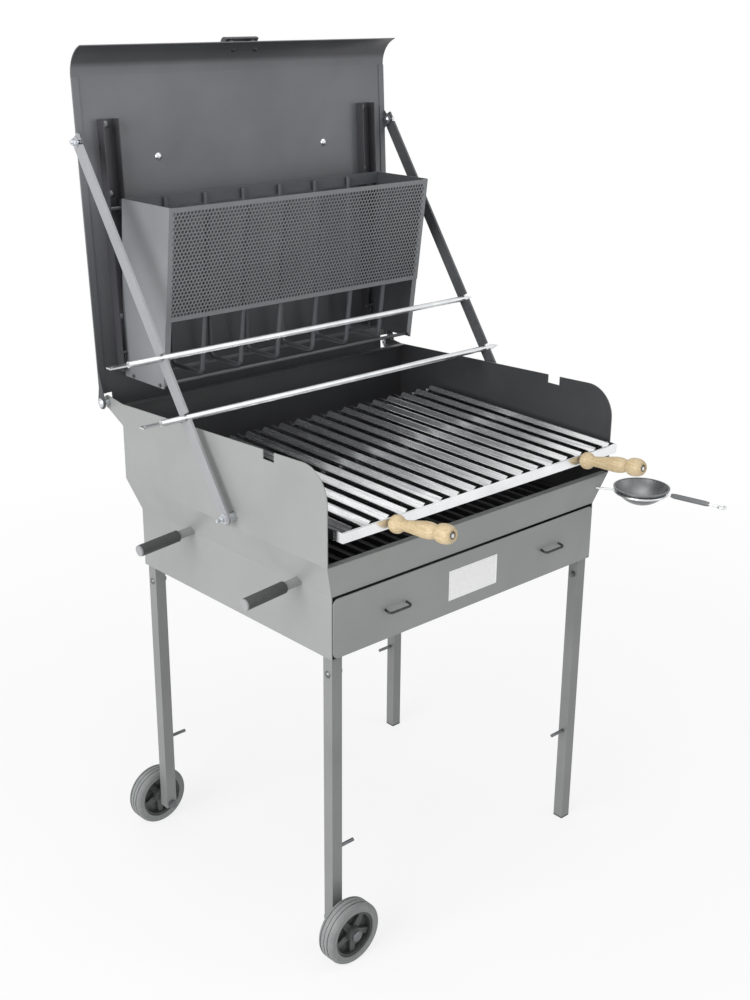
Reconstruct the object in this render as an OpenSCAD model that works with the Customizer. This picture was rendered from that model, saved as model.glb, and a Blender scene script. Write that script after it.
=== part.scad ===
// Charcoal barbecue on four square legs, two of them on wheels.
// A bent-sheet firebox carries a drip grill, an ash drawer, a hinged lid with an
// upright fire basket, two notched stays that hold skewers, and a small fat pan.
// Millimetres, +Z up, +Y to the rear, the wheels on the left at -X.

/* [Firebox] */
// Outer width of the firebox at its rim
body_w = 640; // [560:5:720]
// Outer depth of the firebox at its rim
body_d = 520; // [500:5:600]
// How far each side wall steps in below the slanted band
side_inset = 20; // [10:1:30]
// How far the front and rear walls step in below the slanted band
end_inset = 14; // [8:1:24]
// Height of the upright lower walls
lower_h = 102; // [90:1:130]
// Height of the slanted band
slant_h = 56; // [40:1:70]
// Height of the side walls above the slanted band, at the rear
rim_h_rear = 130; // [120:1:150]
// Height of the side walls above the slanted band, at the front
rim_h_front = 150; // [140:1:170]
// Radius of the upper front corners of the side walls
corner_r = 52; // [30:1:60]
// Thickness of the sheet steel
sheet = 1.5; // [1:0.1:2]
// Width of the folded lips on the rear wall and the apron
lip_w = 12; // [8:1:16]

/* [Rim notches] */
// Width of the notch in the top edge of each side wall
notch_w = 26; // [16:1:34]
// Depth of the notch
notch_deep = 15; // [8:1:20]
// Distance from the middle of the firebox forward to the notch
notch_y = 129; // [110:1:150]

/* [Legs] */
// Height of the underside of the firebox above the floor
leg_h = 530; // [450:5:600]
// Width of the square leg tube
leg_w = 20; // [18:1:28]
// Wall of the leg tube
leg_wall = 1.5; // [1:0.1:2]
// How far the legs stand in from the corners of the lower walls
leg_inset = 4; // [0:1:10]
// Length of the stub that each leg slips onto
stub_len = 60; // [45:1:80]
// Distance from the firebox down to the leg bolts
leg_bolt_drop = 30; // [20:1:34]
// Thickness of the heads of the plastic leg plugs
plug_head = 3; // [2:0.5:5]
// Length of the leg plugs inside the tube
plug_len = 12; // [8:1:20]
// Diameter of the shelf pegs
peg_d = 6; // [5:0.5:8]
// Length of the shelf pegs
peg_len = 32; // [20:1:45]
// Height of the shelf pegs above the floor
peg_z = 186; // [160:1:260]

/* [Wheels] */
// Outer diameter of the tyres
wheel_d = 106; // [96:1:130]
// Width of the tyres
tyre_w = 32; // [24:1:38]
// Thickness of the tyre from the tread to the hub's rim
tyre_deep = 14; // [10:1:16]
// Depth of the grooves between the tread ribs
groove_deep = 1.5; // [0.5:0.1:2.5]
// Width of the grooves between the tread ribs
groove_w = 2.4; // [1:0.1:3]
// Number of hub spokes
spokes = 5; // [3:1:7]
// Diameter of the hub's centre boss
boss_d = 26; // [22:1:32]
// How far the boss stands proud of the tyre on each side
boss_proud = 3; // [1:0.5:5]
// Diameter of the axle bolts
axle_d = 8; // [6:0.5:9]
// Length of the spacer between a leg and its wheel
axle_spacer = 8; // [4:0.5:12]
// Distance from the axle down to the cut end of a wheeled leg
leg_below_axle = 7; // [7:0.5:20]

/* [Lid] */
// Distance from the rear wall back to the lid hinge
hinge_back = 43; // [30:1:55]
// Distance from the rear rim down to the lid hinge
hinge_drop = 5; // [2:0.5:8]
// Distance from the hinge back to the lid's outer face
lid_offset = 5; // [4.5:0.5:8]
// How far the lid is wider than the firebox on each side
lid_over = 12; // [10:0.5:13]
// Length of the flat part of the lid above the hinge
lid_flat = 522; // [500:1:545]
// How far the opened lid leans back, in degrees
lid_lean = 3; // [0:0.5:6]
// Outer radius of the curl at the lid's free edge
curl_r = 48; // [40:1:56]
// Angle through which the curl is bent, in degrees
curl_turn = 75; // [65:1:90]
// Width of the flat hems along the lid's sides
hem_w = 12; // [8:1:16]
// How far the lid's sheet reaches below the hinge line
lid_skirt = 20; // [14:1:30]
// Diameter of the hinge bolts
hinge_bolt_d = 6; // [5:0.5:8]
// Length of the lid handle
handle_len = 68; // [60:1:100]
// How far the lid handle stands off the curl
handle_stand = 24; // [22:1:32]
// Distance from the lid's side edges to the screws in its face
face_screw_side = 152; // [110:1:180]
// Height of these screws above the hinge
face_screw_up = 391; // [360:1:420]

/* [Lid rails] */
// Width of the rails
rail_w = 30; // [28:1:36]
// Depth of the rails
rail_deep = 18; // [16:0.5:20]
// Height above the hinge where the rails start
rail_low = 48; // [40:1:60]
// Height above the hinge where the rails end
rail_high = 456; // [440:1:480]
// Distance from the lid's inner face to the hanger pins
pin_off = 11.5; // [11:0.5:12]
// Diameter of the hanger pins
pin_d = 6; // [5:0.5:7]
// Height of the lower hanger pins above the hinge
pin_low = 80; // [70:1:95]
// Height of the upper hanger pins above the hinge
pin_high = 316; // [310:1:318]

/* [Fire basket] */
// Distance from the firebox's sides in to the basket's side plates
basket_side_gap = 40; // [34:0.5:60]
// Distance from the hinge forward to the basket's rear face
basket_gap = 14; // [12:1:18]
// Depth of the basket at its top
basket_d_top = 132; // [110:1:138]
// Depth of the basket at its bottom
basket_d_low = 95; // [80:1:108]
// Height of the basket's bottom above the hinge
basket_low = 37; // [32:1:42]
// Height of the basket
basket_h = 297; // [290:1:300]
// Width of the front flanges of the side plates
basket_flange = 11; // [8:1:18]
// Height of the perforated front sheet
perf_h = 185; // [150:5:230]
// Diameter of the holes in the front sheet
perf_d = 9; // [6:0.5:11]
// Distance between neighbouring holes
perf_pitch = 21; // [18:0.5:30]
// Number of U-shaped rods
u_rods = 6; // [4:1:9]
// Distance between the U-shaped rods
u_pitch = 80; // [50:1:84]
// Diameter of the U-shaped rods
u_rod_d = 8; // [6:0.5:9]
// Bend radius of the U-shaped rods
u_bend = 12; // [9:1:18]
// Angle from upright at which the basket lifts off its pins
lift_tilt = 20; // [15:1:25]

/* [Stays and skewers] */
// Distance from the middle of the firebox forward to the lower stay bolts
stay_low_y = 41; // [20:1:60]
// Height of the lower stay bolts above the slanted band
stay_low_up = 18; // [12:1:30]
// Height of the upper stay bolts above the hinge
stay_high = 424; // [400:1:440]
// Width of the stays
stay_w = 22; // [20:1:28]
// Thickness of the stays
stay_t = 4; // [3:0.5:6]
// Gap between a side wall and its stay
stay_gap = 14; // [13.5:0.5:18]
// Diameter of the stay bolts
stay_bolt_d = 6; // [5:0.5:7]
// Distance along the stay to the lower skewer
skewer_at_low = 168; // [165:1:190]
// Distance along the stay to the upper skewer
skewer_at_high = 269; // [230:1:275]
// Diameter of the skewers
skewer_d = 10; // [4:0.5:10.5]
// Overall length of the skewers
skewer_len = 788; // [780:4:860]
// How far the lower skewer sticks out past the left stay
skewer_out = 79; // [60:1:90]
// How far the upper skewer lies further to the left
skewer_shift = 16; // [0:1:30]
// Length of the flat tab of a skewer
tab_len = 35; // [25:1:50]
// Width of the flat tab
tab_w = 12; // [10:1:16]
// Thickness of the flat tab
tab_t = 2.5; // [2:0.5:4]

/* [Grill] */
// Height of the grill's front edge above the slanted band
grill_up = 58; // [45:1:62]
// Slope of the grill down to the front, in degrees
grill_slope = 1.45; // [0:0.05:2.5]
// Length of the V-shaped bars
grill_len = 424; // [400:1:440]
// Number of V-shaped bars
v_bars = 17; // [14:1:20]
// Width of a V-shaped bar
v_w = 24; // [18:1:26]
// Thickness of the V-shaped bars
v_t = 1; // [0.8:0.1:1.4]
// Gap between the grill and each side wall
grill_gap = 9; // [7:0.5:12]
// Width of the fat gutter
gutter_w = 20; // [18:1:26]
// Depth of the fat gutter
gutter_deep = 15; // [15:0.5:20]
// Distance from the ends of the grill to the wooden handles
handle_end = 93.5; // [60:0.5:140]
// Angle at which the wooden handles rise, in degrees
handle_rise = 11; // [0:0.5:16]
// Length of a wooden handle
wood_len = 126; // [100:1:140]
// Diameter of the end ball of a wooden handle
ball_d = 28; // [26:1:34]
// Diameter of the rod through a wooden handle
handle_rod_d = 6; // [5:0.5:8]

/* [Charcoal grate] */
// Number of grate bars
grate_bars = 24; // [16:1:28]
// Width of a grate bar
grate_bar_w = 7; // [5:0.5:9]
// Height of a grate bar
grate_bar_h = 9; // [7:0.5:12]

/* [Ash drawer] */
// Height of the gap between the drawer front and the apron
drawer_gap = 4; // [3:0.5:8]
// Height of the drawer's tray
tray_h = 66; // [50:1:80]
// Gap between the tray and the side walls
tray_side_gap = 8; // [5:0.5:12]
// Corner radius of the drawer front
drawer_r = 10; // [4:1:16]
// Distance from the ends of the drawer to its bows
bow_end = 118; // [80:1:150]
// Width of a drawer bow at the drawer front
bow_w = 44; // [38:1:56]
// How far a drawer bow stands out
bow_out = 14; // [12:1:24]
// How far both bows sit to the right of the drawer's middle
bow_shift = 9; // [0:1:12]
// Diameter of the bow wire
bow_d = 4; // [3.5:0.5:6]
// Width of the blank plate on the drawer front
plate_w = 111; // [80:1:130]
// Height of the blank plate
plate_h = 51; // [40:1:60]

/* [Side grips] */
// Distance from the middle forward to the front grip
grip_front = 172; // [150:1:190]
// Distance from the middle back to the rear grip
grip_rear = 100; // [80:1:150]
// Length of the bare tube between the wall and a grip
grip_bare = 27; // [15:1:40]
// Length of a grip
grip_len = 73; // [60:1:110]
// Diameter of a grip
grip_d = 19; // [18:1:28]
// Diameter of the grip tube
grip_tube_d = 14; // [12:1:16]

/* [Fat pan] */
// Rim radius of the pan
pan_r = 47; // [42:1:50]
// Depth of the pan
pan_deep = 31; // [24:1:34]
// Distance from the firebox's side to the pan's centre
pan_x = 24; // [20:1:40]
// Distance from the firebox's front to the pan's centre
pan_y = 55; // [53:1:70]
// Distance from the top of the slanted band down to the pan's rim
pan_drop = 18; // [8:1:22]
// Angle between the pan's handle and straight forward, in degrees
pan_turn = 10; // [0:1:30]
// Length of the pan's handle past the rim
pan_handle_len = 106; // [90:1:140]
// Diameter of the pan's handle wire
pan_wire_d = 4; // [3:0.5:5]
// Length of the pan's grip sleeve
pan_grip_len = 68; // [40:1:74]

/* [Hidden] */
$fn = 48;
// Clearance between pieces that are welded or seated
seam = 0.1;
// Clearance between pieces that move past each other
run_gap = 0.3;
// Radial clearance of a bolt or shaft in its hole
hole_gap = 0.05;

// Heights of the firebox above the floor
kink_low_z = leg_h + lower_h;
kink_high_z = kink_low_z + slant_h;
rim_rear_z = kink_high_z + rim_h_rear;
rim_front_z = kink_high_z + rim_h_front;
rim_max_z = max(rim_rear_z, rim_front_z);
// Half sizes of the firebox
half_w = body_w / 2;
half_d = body_d / 2;
low_half_w = half_w - side_inset;
low_half_d = half_d - end_inset;
in_half_w = half_w - sheet;
// Slope of the side walls' top edge, rising to the front
rim_slope = (rim_front_z - rim_rear_z) / body_d;
function rim_z(y) = rim_rear_z + (half_d - y) * rim_slope;
// Outer face of the slanted band of a side wall at height z
function band_x(z) = low_half_w + side_inset * min(1, max(0, (z - kink_low_z) / slant_h));
// Outer face of the slanted band of the front wall at height z, as a distance forward
function band_y(z) = low_half_d + end_inset * min(1, max(0, (z - kink_low_z) / slant_h));

// Lid hinge
hinge_y = half_d + hinge_back;
hinge_z = rim_rear_z - hinge_drop;
hinge_bolt_r = hinge_bolt_d / 2;
ear_r = hinge_bolt_r + 8;
lid_half_w = half_w + lid_over;
skirt_half = half_w - 12;
lid_in = lid_offset - sheet;
// The lid's sheet starts above the ears of the side walls
lid_start = ear_r + 3;
lug_r = 10;
curl_y = lid_offset - curl_r;
face_screw_x = lid_half_w - face_screw_side;
lid_foot_r = 9;
lid_grip_r = 11;
// A point of the lid, given in the lid's own upright frame, at its place on the part
function lid_pt(y, z) = [hinge_y + y * cos(lid_lean) + z * sin(lid_lean),
                         hinge_z - y * sin(lid_lean) + z * cos(lid_lean)];

// Rails, which the basket's side plates reach into
basket_w = body_w - 2 * basket_side_gap;
rail_x = basket_w / 2 - 3;
rail_front = lid_in - rail_deep;
pin_y = lid_in - pin_off;
pin_r = pin_d / 2;

// Basket, in the same upright frame as the firebox
basket_z = hinge_z + basket_low;
basket_top = basket_z + basket_h;
basket_back = hinge_y - basket_gap;
basket_front_top = basket_back - basket_d_top;
basket_front_low = basket_back - basket_d_low;
basket_half = basket_w / 2;
basket_lean = atan((basket_d_top - basket_d_low) / basket_h);
front_len = basket_h / cos(basket_lean);
u_rod_r = u_rod_d / 2;
tie_r = 3;
perf_t = 1.2;
rear_rail_t = 3;
rear_rail_h = 20;
// Distance behind the front plane of the middle of the U-shaped rods
u_behind = sheet + seam + u_rod_r;
// Distance from the hanger pins back to the rear edge of the hooks
hook_behind = pin_off - sheet - run_gap - 0.6;
hook_tall = 13;

// Stays
stay_bolt_r = stay_bolt_d / 2;
stay_y0 = -stay_low_y;
stay_z0 = kink_high_z + stay_low_up;
dome_r = 6;
stud_y = lid_in - sheet - dome_r - 0.5;
stud = lid_pt(stud_y, stay_high);
stay_run = [stud[0] - stay_y0, stud[1] - stay_z0];
stay_len = norm(stay_run);
stay_angle = atan2(stay_run[0], stay_run[1]);
stay_in = half_w + stay_gap;
stay_out = stay_in + stay_t;
skewer_r = skewer_d / 2;
function on_stay(t) = [stay_y0 + t * sin(stay_angle), stay_z0 + t * cos(stay_angle)];
skewer_point = 16;

// Fasteners
washer_t = 1.6;
washer_r = 8;
nut_t = 5;
nut_flats = 10;
dome_h = 3.5;

// Grill, in its own frame that starts at the gutter's rear top edge
grill_y = -half_d - 2;
grill_z = kink_high_z + grill_up;
grill_half = in_half_w - grill_gap;
bar_side_t = 3;
cross_t = 3;
v_deep = v_w / 2;
frame_deep = v_deep + cross_t + 1;
handle_x = grill_half - handle_end;
v_over = 8;
gutter_t = 1.2;
rod_start = 0.4;
handle_rod_r = handle_rod_d / 2;
wood_gap = 2;
wood_bore_r = handle_rod_r + hole_gap;
ledge_w = 15;

// Charcoal grate
grate_z = kink_low_z + sheet + run_gap;
grate_half_w = low_half_w - sheet - 6;
grate_half_d = low_half_d - sheet - 4;

// Ash drawer
drawer_top = kink_low_z - drawer_gap;
drawer_half_w = low_half_w - 2;
bow_x = drawer_half_w - bow_end;
tray_half_w = low_half_w - sheet - tray_side_gap;
tray_back = low_half_d - sheet - 18;
drawer_in = -low_half_d - run_gap;
drawer_face = drawer_in - sheet;
bow_r = bow_d / 2;
bow_z = leg_h + 51;
bow_flare = 2;
bow_bend = 6;
bow_droop = 12;
plate_t = 0.8;
plate_z = leg_h + 49;

// Legs and wheels
leg_x = low_half_w - leg_inset - leg_w / 2;
leg_y = low_half_d - leg_inset - leg_w / 2;
leg_in = leg_w - 2 * leg_wall;
stub_w = leg_in - 0.4;
leg_top = leg_h - 0.2;
wheel_r = wheel_d / 2;
axle_r = axle_d / 2;
leg_cut = wheel_r - leg_below_axle;
hub_rim_r = wheel_r - tyre_deep;
hub_rim_t = 4;
hub_w = tyre_w + 2 * boss_proud;
// Middle of a wheel's width, measured from the centre of its leg
wheel_off = leg_w / 2 + run_gap + axle_spacer + run_gap + hub_w / 2;

// Grips
grip_z = kink_low_z + 4;
grip_droop = 5;
grip_cap_t = 3;

// Fat pan
pan_cx = half_w + pan_x;
pan_cy = -half_d - pan_y;
pan_z = kink_high_z - pan_drop;
pan_t = 1.2;
pan_ball = (pan_r * pan_r + pan_deep * pan_deep) / (2 * pan_deep);
pan_up = pan_ball - pan_deep;
pan_wire_r = pan_wire_d / 2;
ring_wire_r = 2;
ring_arm_r = ring_wire_r - 0.2;
ring_drop = pan_t + seam + pan_wire_d + ring_wire_r + run_gap + 0.4;
ring_reach = sqrt(pow(pan_ball + ring_wire_r + run_gap, 2) - pow(pan_up + ring_drop, 2));
loop_r = 6;
pan_reach = pan_r + pan_handle_len;
pan_grip_r = 4.5;
pan_grip_at = pan_r + 9;
pan_rim_w = 3;
pan_rim_r = pan_r + pan_rim_w - pan_t - 0.6;

// The frame's origin is on the floor below the middle of the whole part's outline
grip_reach = band_x(grip_z) + (grip_bare + grip_len + grip_cap_t) * cos(grip_droop)
           + grip_d / 2 * sin(grip_droop);
skewer_reach = stay_out + skewer_out + skewer_shift;
part_left = -max(grip_reach, skewer_reach);
part_right = pan_cx + max(pan_rim_r, (pan_reach - loop_r) * sin(pan_turn) + loop_r + pan_wire_r);
part_front = pan_cy - (pan_reach - loop_r) * cos(pan_turn) - loop_r - pan_wire_r;
handle_axis_r = curl_r + seam + handle_stand - lid_grip_r;
handle_mid = lid_pt(curl_y + handle_axis_r * cos(45), lid_flat + handle_axis_r * sin(45));
part_back = handle_mid[0] + lid_grip_r;
mid_x = (part_left + part_right) / 2;
mid_y = (part_front + part_back) / 2;

// Moves everything so that the origin is under the middle of the part
module place() {
    translate([-mid_x, -mid_y, 0]) children();
}

// A flat shape in Y and Z, thick from x0 to x1
module slab_yz(x0, x1) {
    translate([x0, 0, 0]) rotate([90, 0, 90]) linear_extrude(x1 - x0) children();
}

// A flat shape in X and Z, thick from y0 to y1
module slab_xz(y0, y1) {
    translate([0, y1, 0]) rotate([90, 0, 0]) linear_extrude(y1 - y0) children();
}

// A plain bar from one corner to the opposite one
module bar(low, high) {
    translate(low) cube(high - low);
}

// The same piece on the left and on the right
module both_sides() {
    children();
    mirror([1, 0, 0]) children();
}

// A shaft along X from x0 to x1
module shaft_x(x0, x1, r) {
    translate([x0, 0, 0]) rotate([0, 90, 0]) cylinder(h = x1 - x0, r = r);
}

// A shaft along Y from y0 to y1
module shaft_y(y0, y1, r) {
    translate([0, y1, 0]) rotate([90, 0, 0]) cylinder(h = y1 - y0, r = r);
}

// A hexagonal nut along X from x0, with its hole
module nut_x(x0, thick, flats, hole_r) {
    translate([x0, 0, 0]) rotate([0, 90, 0]) difference() {
        cylinder(h = thick, r = flats / 2 / cos(30), $fn = 6);
        translate([0, 0, -1]) cylinder(h = thick + 2, r = hole_r);
    }
}

// A ring along X from x0 to x1
module ring_x(x0, x1, r, hole_r) {
    difference() {
        shaft_x(x0, x1, r);
        shaft_x(x0 - 1, x1 + 1, hole_r);
    }
}

// A domed head whose flat face lies at x and whose dome points to -X
module dome_x(x, r, h) {
    ball = (r * r + h * h) / (2 * h);
    intersection() {
        translate([x - h + ball, 0, 0]) sphere(r = ball);
        shaft_x(x - h - 1, x, r);
    }
}

// Turn from one direction to the next, between -180 and 180 degrees
function turn_of(a, b) = let (d = b - a) d > 180 ? d - 360 : d < -180 ? d + 360 : d;
function heading(p, q) = atan2(q[1] - p[1], q[0] - p[0]);

// A round wire in the XY plane through the points, with bends of one radius.
// A hair-thin collar covers each place where a straight run meets a bend.
module wire(points, bend, r) {
    last = len(points) - 1;
    turns = [for (i = [1:1:last - 1]) turn_of(heading(points[i - 1], points[i]), heading(points[i], points[i + 1]))];
    cuts = [for (t = turns) bend * tan(abs(t) / 2)];
    for (i = [0:last - 1]) {
        a = heading(points[i], points[i + 1]);
        cut_0 = i == 0 ? 0 : cuts[i - 1];
        cut_1 = i == last - 1 ? 0 : cuts[i];
        run = norm(points[i + 1] - points[i]) - cut_0 - cut_1;
        translate([points[i][0] + cut_0 * cos(a), points[i][1] + cut_0 * sin(a), 0])
            rotate([0, 0, a]) rotate([0, 90, 0]) cylinder(h = run, r = r);
    }
    for (i = [1:1:last - 1]) {
        a = heading(points[i - 1], points[i]);
        t = turns[i - 1];
        side = t > 0 ? 90 : -90;
        start = [points[i][0] - cuts[i - 1] * cos(a), points[i][1] - cuts[i - 1] * sin(a), 0];
        translate(start + bend * [cos(a + side), sin(a + side), 0])
            rotate([0, 0, t > 0 ? a - 90 : a + t + 90])
            rotate_extrude(angle = abs(t)) translate([bend, 0]) circle(r = r);
        for (end = [a, a + t])
            translate([points[i][0], points[i][1], 0])
                rotate([0, 0, end]) translate([(end == a ? -1 : 1) * cuts[i - 1], 0, 0])
                    rotate([0, 90, 0]) cylinder(h = 1.2, r = r + 0.05, center = true);
    }
}

// A round rod between two points in space
module rod(a, b, r) {
    run = b - a;
    flat = norm([run[0], run[1]]);
    translate(a) rotate([0, atan2(flat, run[2]), atan2(run[1], run[0])]) cylinder(h = norm(run), r = r);
}

// Firebox

// Outline of the gap between the side walls, at its full width
module between_walls(low_z, high_z) {
    polygon([
        for (s = [1, -1], k = s > 0 ? [0, 1, 2, 3] : [3, 2, 1, 0])
            let (z = [low_z, max(low_z, kink_low_z), min(high_z, kink_high_z), high_z][k])
            [s * (band_x(z) - sheet - seam), z]]);
}

// Cross-section of the bent sheet of the left wall
module side_bend() {
    outer = [[-half_w, rim_max_z + ear_r], [-half_w, kink_high_z], [-low_half_w, kink_low_z], [-low_half_w, leg_h]];
    polygon(concat(outer, [for (i = [3:-1:0]) outer[i] + [sheet, 0]]));
}

// Outline of a side wall seen from the side
module side_outline() {
    arc_y = -half_d + corner_r;
    arc_z = rim_z(arc_y) - corner_r;
    difference() {
        union() {
            polygon([
                [-low_half_d, leg_h], [low_half_d, leg_h], [low_half_d, kink_low_z], [half_d, kink_high_z],
                [half_d, rim_rear_z], [arc_y, rim_z(arc_y)], [arc_y, arc_z], [-half_d, arc_z],
                [-half_d, kink_high_z], [-low_half_d, kink_low_z]]);
            translate([arc_y, arc_z]) circle(r = corner_r);
            polygon([
                [half_d - 1, hinge_z - ear_r - 22], [hinge_y, hinge_z - ear_r], [hinge_y, hinge_z + ear_r],
                [half_d - 1, rim_rear_z]]);
            translate([hinge_y, hinge_z]) circle(r = ear_r);
        }
        translate([-notch_y - notch_w / 2, rim_z(-notch_y) - notch_deep]) square([notch_w, notch_deep * 2]);
        translate([hinge_y, hinge_z]) circle(r = hinge_bolt_r + hole_gap);
        translate([stay_y0, stay_z0]) circle(r = stay_bolt_r + hole_gap);
    }
}

module side_panel() {
    intersection() {
        slab_xz(-half_d - 10, hinge_y + ear_r + 10) side_bend();
        slab_yz(-half_w - 10, -low_half_w + 10) side_outline();
    }
}

module side_panel_left() {
    color("#b9bcb8") place() side_panel();
}

module side_panel_right() {
    color("#b9bcb8") place() mirror([1, 0, 0]) side_panel();
}

// Bent rear wall with its top edge folded in
module rear_wall() {
    outer = [[low_half_d, leg_h], [low_half_d, kink_low_z], [half_d, kink_high_z], [half_d, rim_rear_z]];
    color("#4b4c4d") place() intersection() {
        slab_yz(-half_w, half_w) union() {
            polygon(concat(outer, [for (i = [3:-1:0]) outer[i] - [sheet, 0]]));
            translate([half_d - lip_w, rim_rear_z - sheet]) square([lip_w, sheet]);
        }
        slab_xz(low_half_d - lip_w - 10, half_d + 10) between_walls(leg_h, rim_rear_z);
    }
}

// Slanted front wall with its top and bottom edges folded in
module front_apron() {
    outer = [[-low_half_d, kink_low_z], [-half_d, kink_high_z]];
    color("#9fa19d") place() intersection() {
        slab_yz(-half_w, half_w) union() {
            polygon([outer[0], outer[0] + [sheet, 0], outer[1] + [sheet, 0], outer[1]]);
            translate([-low_half_d, kink_low_z]) square([lip_w, sheet]);
            translate([-half_d, kink_high_z - sheet]) square([lip_w, sheet]);
        }
        slab_xz(-half_d - 1, -low_half_d + lip_w + 1) between_walls(kink_low_z, kink_high_z);
    }
}

module floor_plate() {
    color("#6a6b6a") place() bar(
        [-low_half_w + sheet + seam, -low_half_d, leg_h],
        [low_half_w - sheet - seam, low_half_d - sheet - seam, leg_h + sheet]);
}

// Angle strips on the side walls that carry the grill
module grill_ledges() {
    outer_x = in_half_w - seam;
    top = -frame_deep - run_gap;
    color("#55565a") place() grill_place() both_sides() difference() {
        bar([outer_x - ledge_w, 30, top - lip_w], [outer_x, grill_len - 4, top]);
        bar([outer_x - ledge_w - 1, 29, top - lip_w - 1], [outer_x - sheet, grill_len, top - sheet]);
    }
}

// Strip on the rear wall that carries the charcoal grate
module grate_ledge() {
    y = low_half_d - sheet - seam;
    x = low_half_w - sheet - 12;
    color("#55565a") place() difference() {
        bar([-x, y - lip_w, kink_low_z - lip_w], [x, y, kink_low_z + sheet]);
        bar([-x - 1, y - lip_w - 1, kink_low_z - lip_w - 1], [x + 1, y - sheet, kink_low_z]);
    }
}

// Legs

// Runs its children once at each leg, with the outer side turned to -X
module at_legs(list) {
    for (c = list)
        translate([c[0] * leg_x, c[1] * leg_y, 0]) scale_side(c[0]) children();
}

// Mirrors its children for the right-hand side
module scale_side(side) {
    if (side > 0) mirror([1, 0, 0]) children();
    else children();
}

all_legs = [[-1, -1], [-1, 1], [1, -1], [1, 1]];
bare_legs = [[1, -1], [1, 1]];

module leg(sx, sy, low, wheeled) {
    color("#a4a6a3") place() translate([sx * leg_x, sy * leg_y, 0]) difference() {
        translate([-leg_w / 2, -leg_w / 2, low]) cube([leg_w, leg_w, leg_top - low]);
        translate([-leg_in / 2, -leg_in / 2, low - 1]) cube([leg_in, leg_in, leg_top - low + 2]);
        translate([0, 0, leg_h - leg_bolt_drop]) shaft_x(-leg_w, leg_w, stay_bolt_r + hole_gap);
        if (wheeled) translate([0, 0, wheel_r]) shaft_y(-leg_w, leg_w, axle_r + hole_gap);
    }
}

module leg_front_left() { leg(-1, -1, leg_cut, true); }
module leg_rear_left() { leg(-1, 1, leg_cut, true); }
module leg_front_right() { leg(1, -1, plug_head + seam, false); }
module leg_rear_right() { leg(1, 1, plug_head + seam, false); }

// Square stubs under the firebox that the legs slip onto
module leg_stubs() {
    color("#55565a") place() at_legs(all_legs) difference() {
        translate([-stub_w / 2, -stub_w / 2, leg_h - stub_len]) cube([stub_w, stub_w, stub_len - seam]);
        translate([0, 0, leg_h - leg_bolt_drop]) shaft_x(-leg_w, leg_w, stay_bolt_r + hole_gap);
    }
}

// Bolts through the legs and stubs, each with its nut on the inner side
module leg_bolts() {
    far = leg_w / 2 + seam;
    color("#8b8d90") place() at_legs(all_legs) translate([0, 0, leg_h - leg_bolt_drop]) {
        dome_x(-far, dome_r, dome_h);
        shaft_x(-far, far + nut_t + 1, stay_bolt_r);
        nut_x(far, nut_t, nut_flats, stay_bolt_r + hole_gap);
    }
}

// Plastic plugs in the lower ends of the legs that reach the floor
module leg_plugs() {
    spigot = leg_in - 0.4;
    color("#2b2b2d") place() at_legs(bare_legs) union() {
        translate([-leg_w / 2, -leg_w / 2, 0]) cube([leg_w, leg_w, plug_head]);
        translate([-spigot / 2, -spigot / 2, 0]) cube([spigot, spigot, plug_head + plug_len]);
    }
}

// Pegs that a lower shelf would lie on
module shelf_pegs() {
    color("#8b8d90") place() at_legs(all_legs) translate([0, 0, peg_z])
        shaft_x(leg_w / 2 + seam, leg_w / 2 + peg_len, peg_d / 2);
}

// Wheels

module wheel_place(sy) {
    place() translate([-leg_x, sy * (leg_y + wheel_off), wheel_r]) children();
}

// Tyre with round shoulders and grooves that leave four ribs
module tyre() {
    half = tyre_w / 2;
    shoulder = tyre_deep / 2;
    rib_gap = tyre_w / 4;
    rotate([90, 0, 0]) rotate_extrude($fn = 96) difference() {
        translate([hub_rim_r + seam, 0]) union() {
            translate([0, -half + shoulder]) square([tyre_deep - seam, tyre_w - 2 * shoulder]);
            translate([0, -half]) square([shoulder, tyre_w]);
            for (s = [1, -1]) translate([shoulder - seam, s * (half - shoulder)]) circle(r = shoulder);
        }
        for (i = [-1, 0, 1]) translate([wheel_r - groove_deep, i * rib_gap - groove_w / 2]) square([groove_deep + 1, groove_w]);
    }
}

// Hub with a rim, a closed web, a boss and raised tapering spokes
module hub() {
    half = tyre_w / 2 - 3;
    web_t = 3;
    spoke_t = 9;
    difference() {
        union() {
            rotate([90, 0, 0]) rotate_extrude($fn = 96) translate([hub_rim_r - hub_rim_t, -half]) square([hub_rim_t, 2 * half]);
            shaft_y(-web_t, web_t, hub_rim_r - 1);
            shaft_y(-hub_w / 2, hub_w / 2, boss_d / 2);
            for (i = [0:spokes - 1]) rotate([0, 90 + i * 360 / spokes, 0]) slab_xz(-spoke_t, spoke_t)
                polygon([[0, -7], [hub_rim_r - 1, -4.5], [hub_rim_r - 1, 4.5], [0, 7]]);
        }
        shaft_y(-hub_w, hub_w, axle_r + 0.08);
    }
}

module tyre_front() { color("#a9aba9") wheel_place(-1) tyre(); }
module tyre_rear() { color("#a9aba9") wheel_place(1) tyre(); }
module hub_front() { color("#2b2b2d") wheel_place(-1) hub(); }
module hub_rear() { color("#2b2b2d") wheel_place(1) hub(); }

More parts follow.
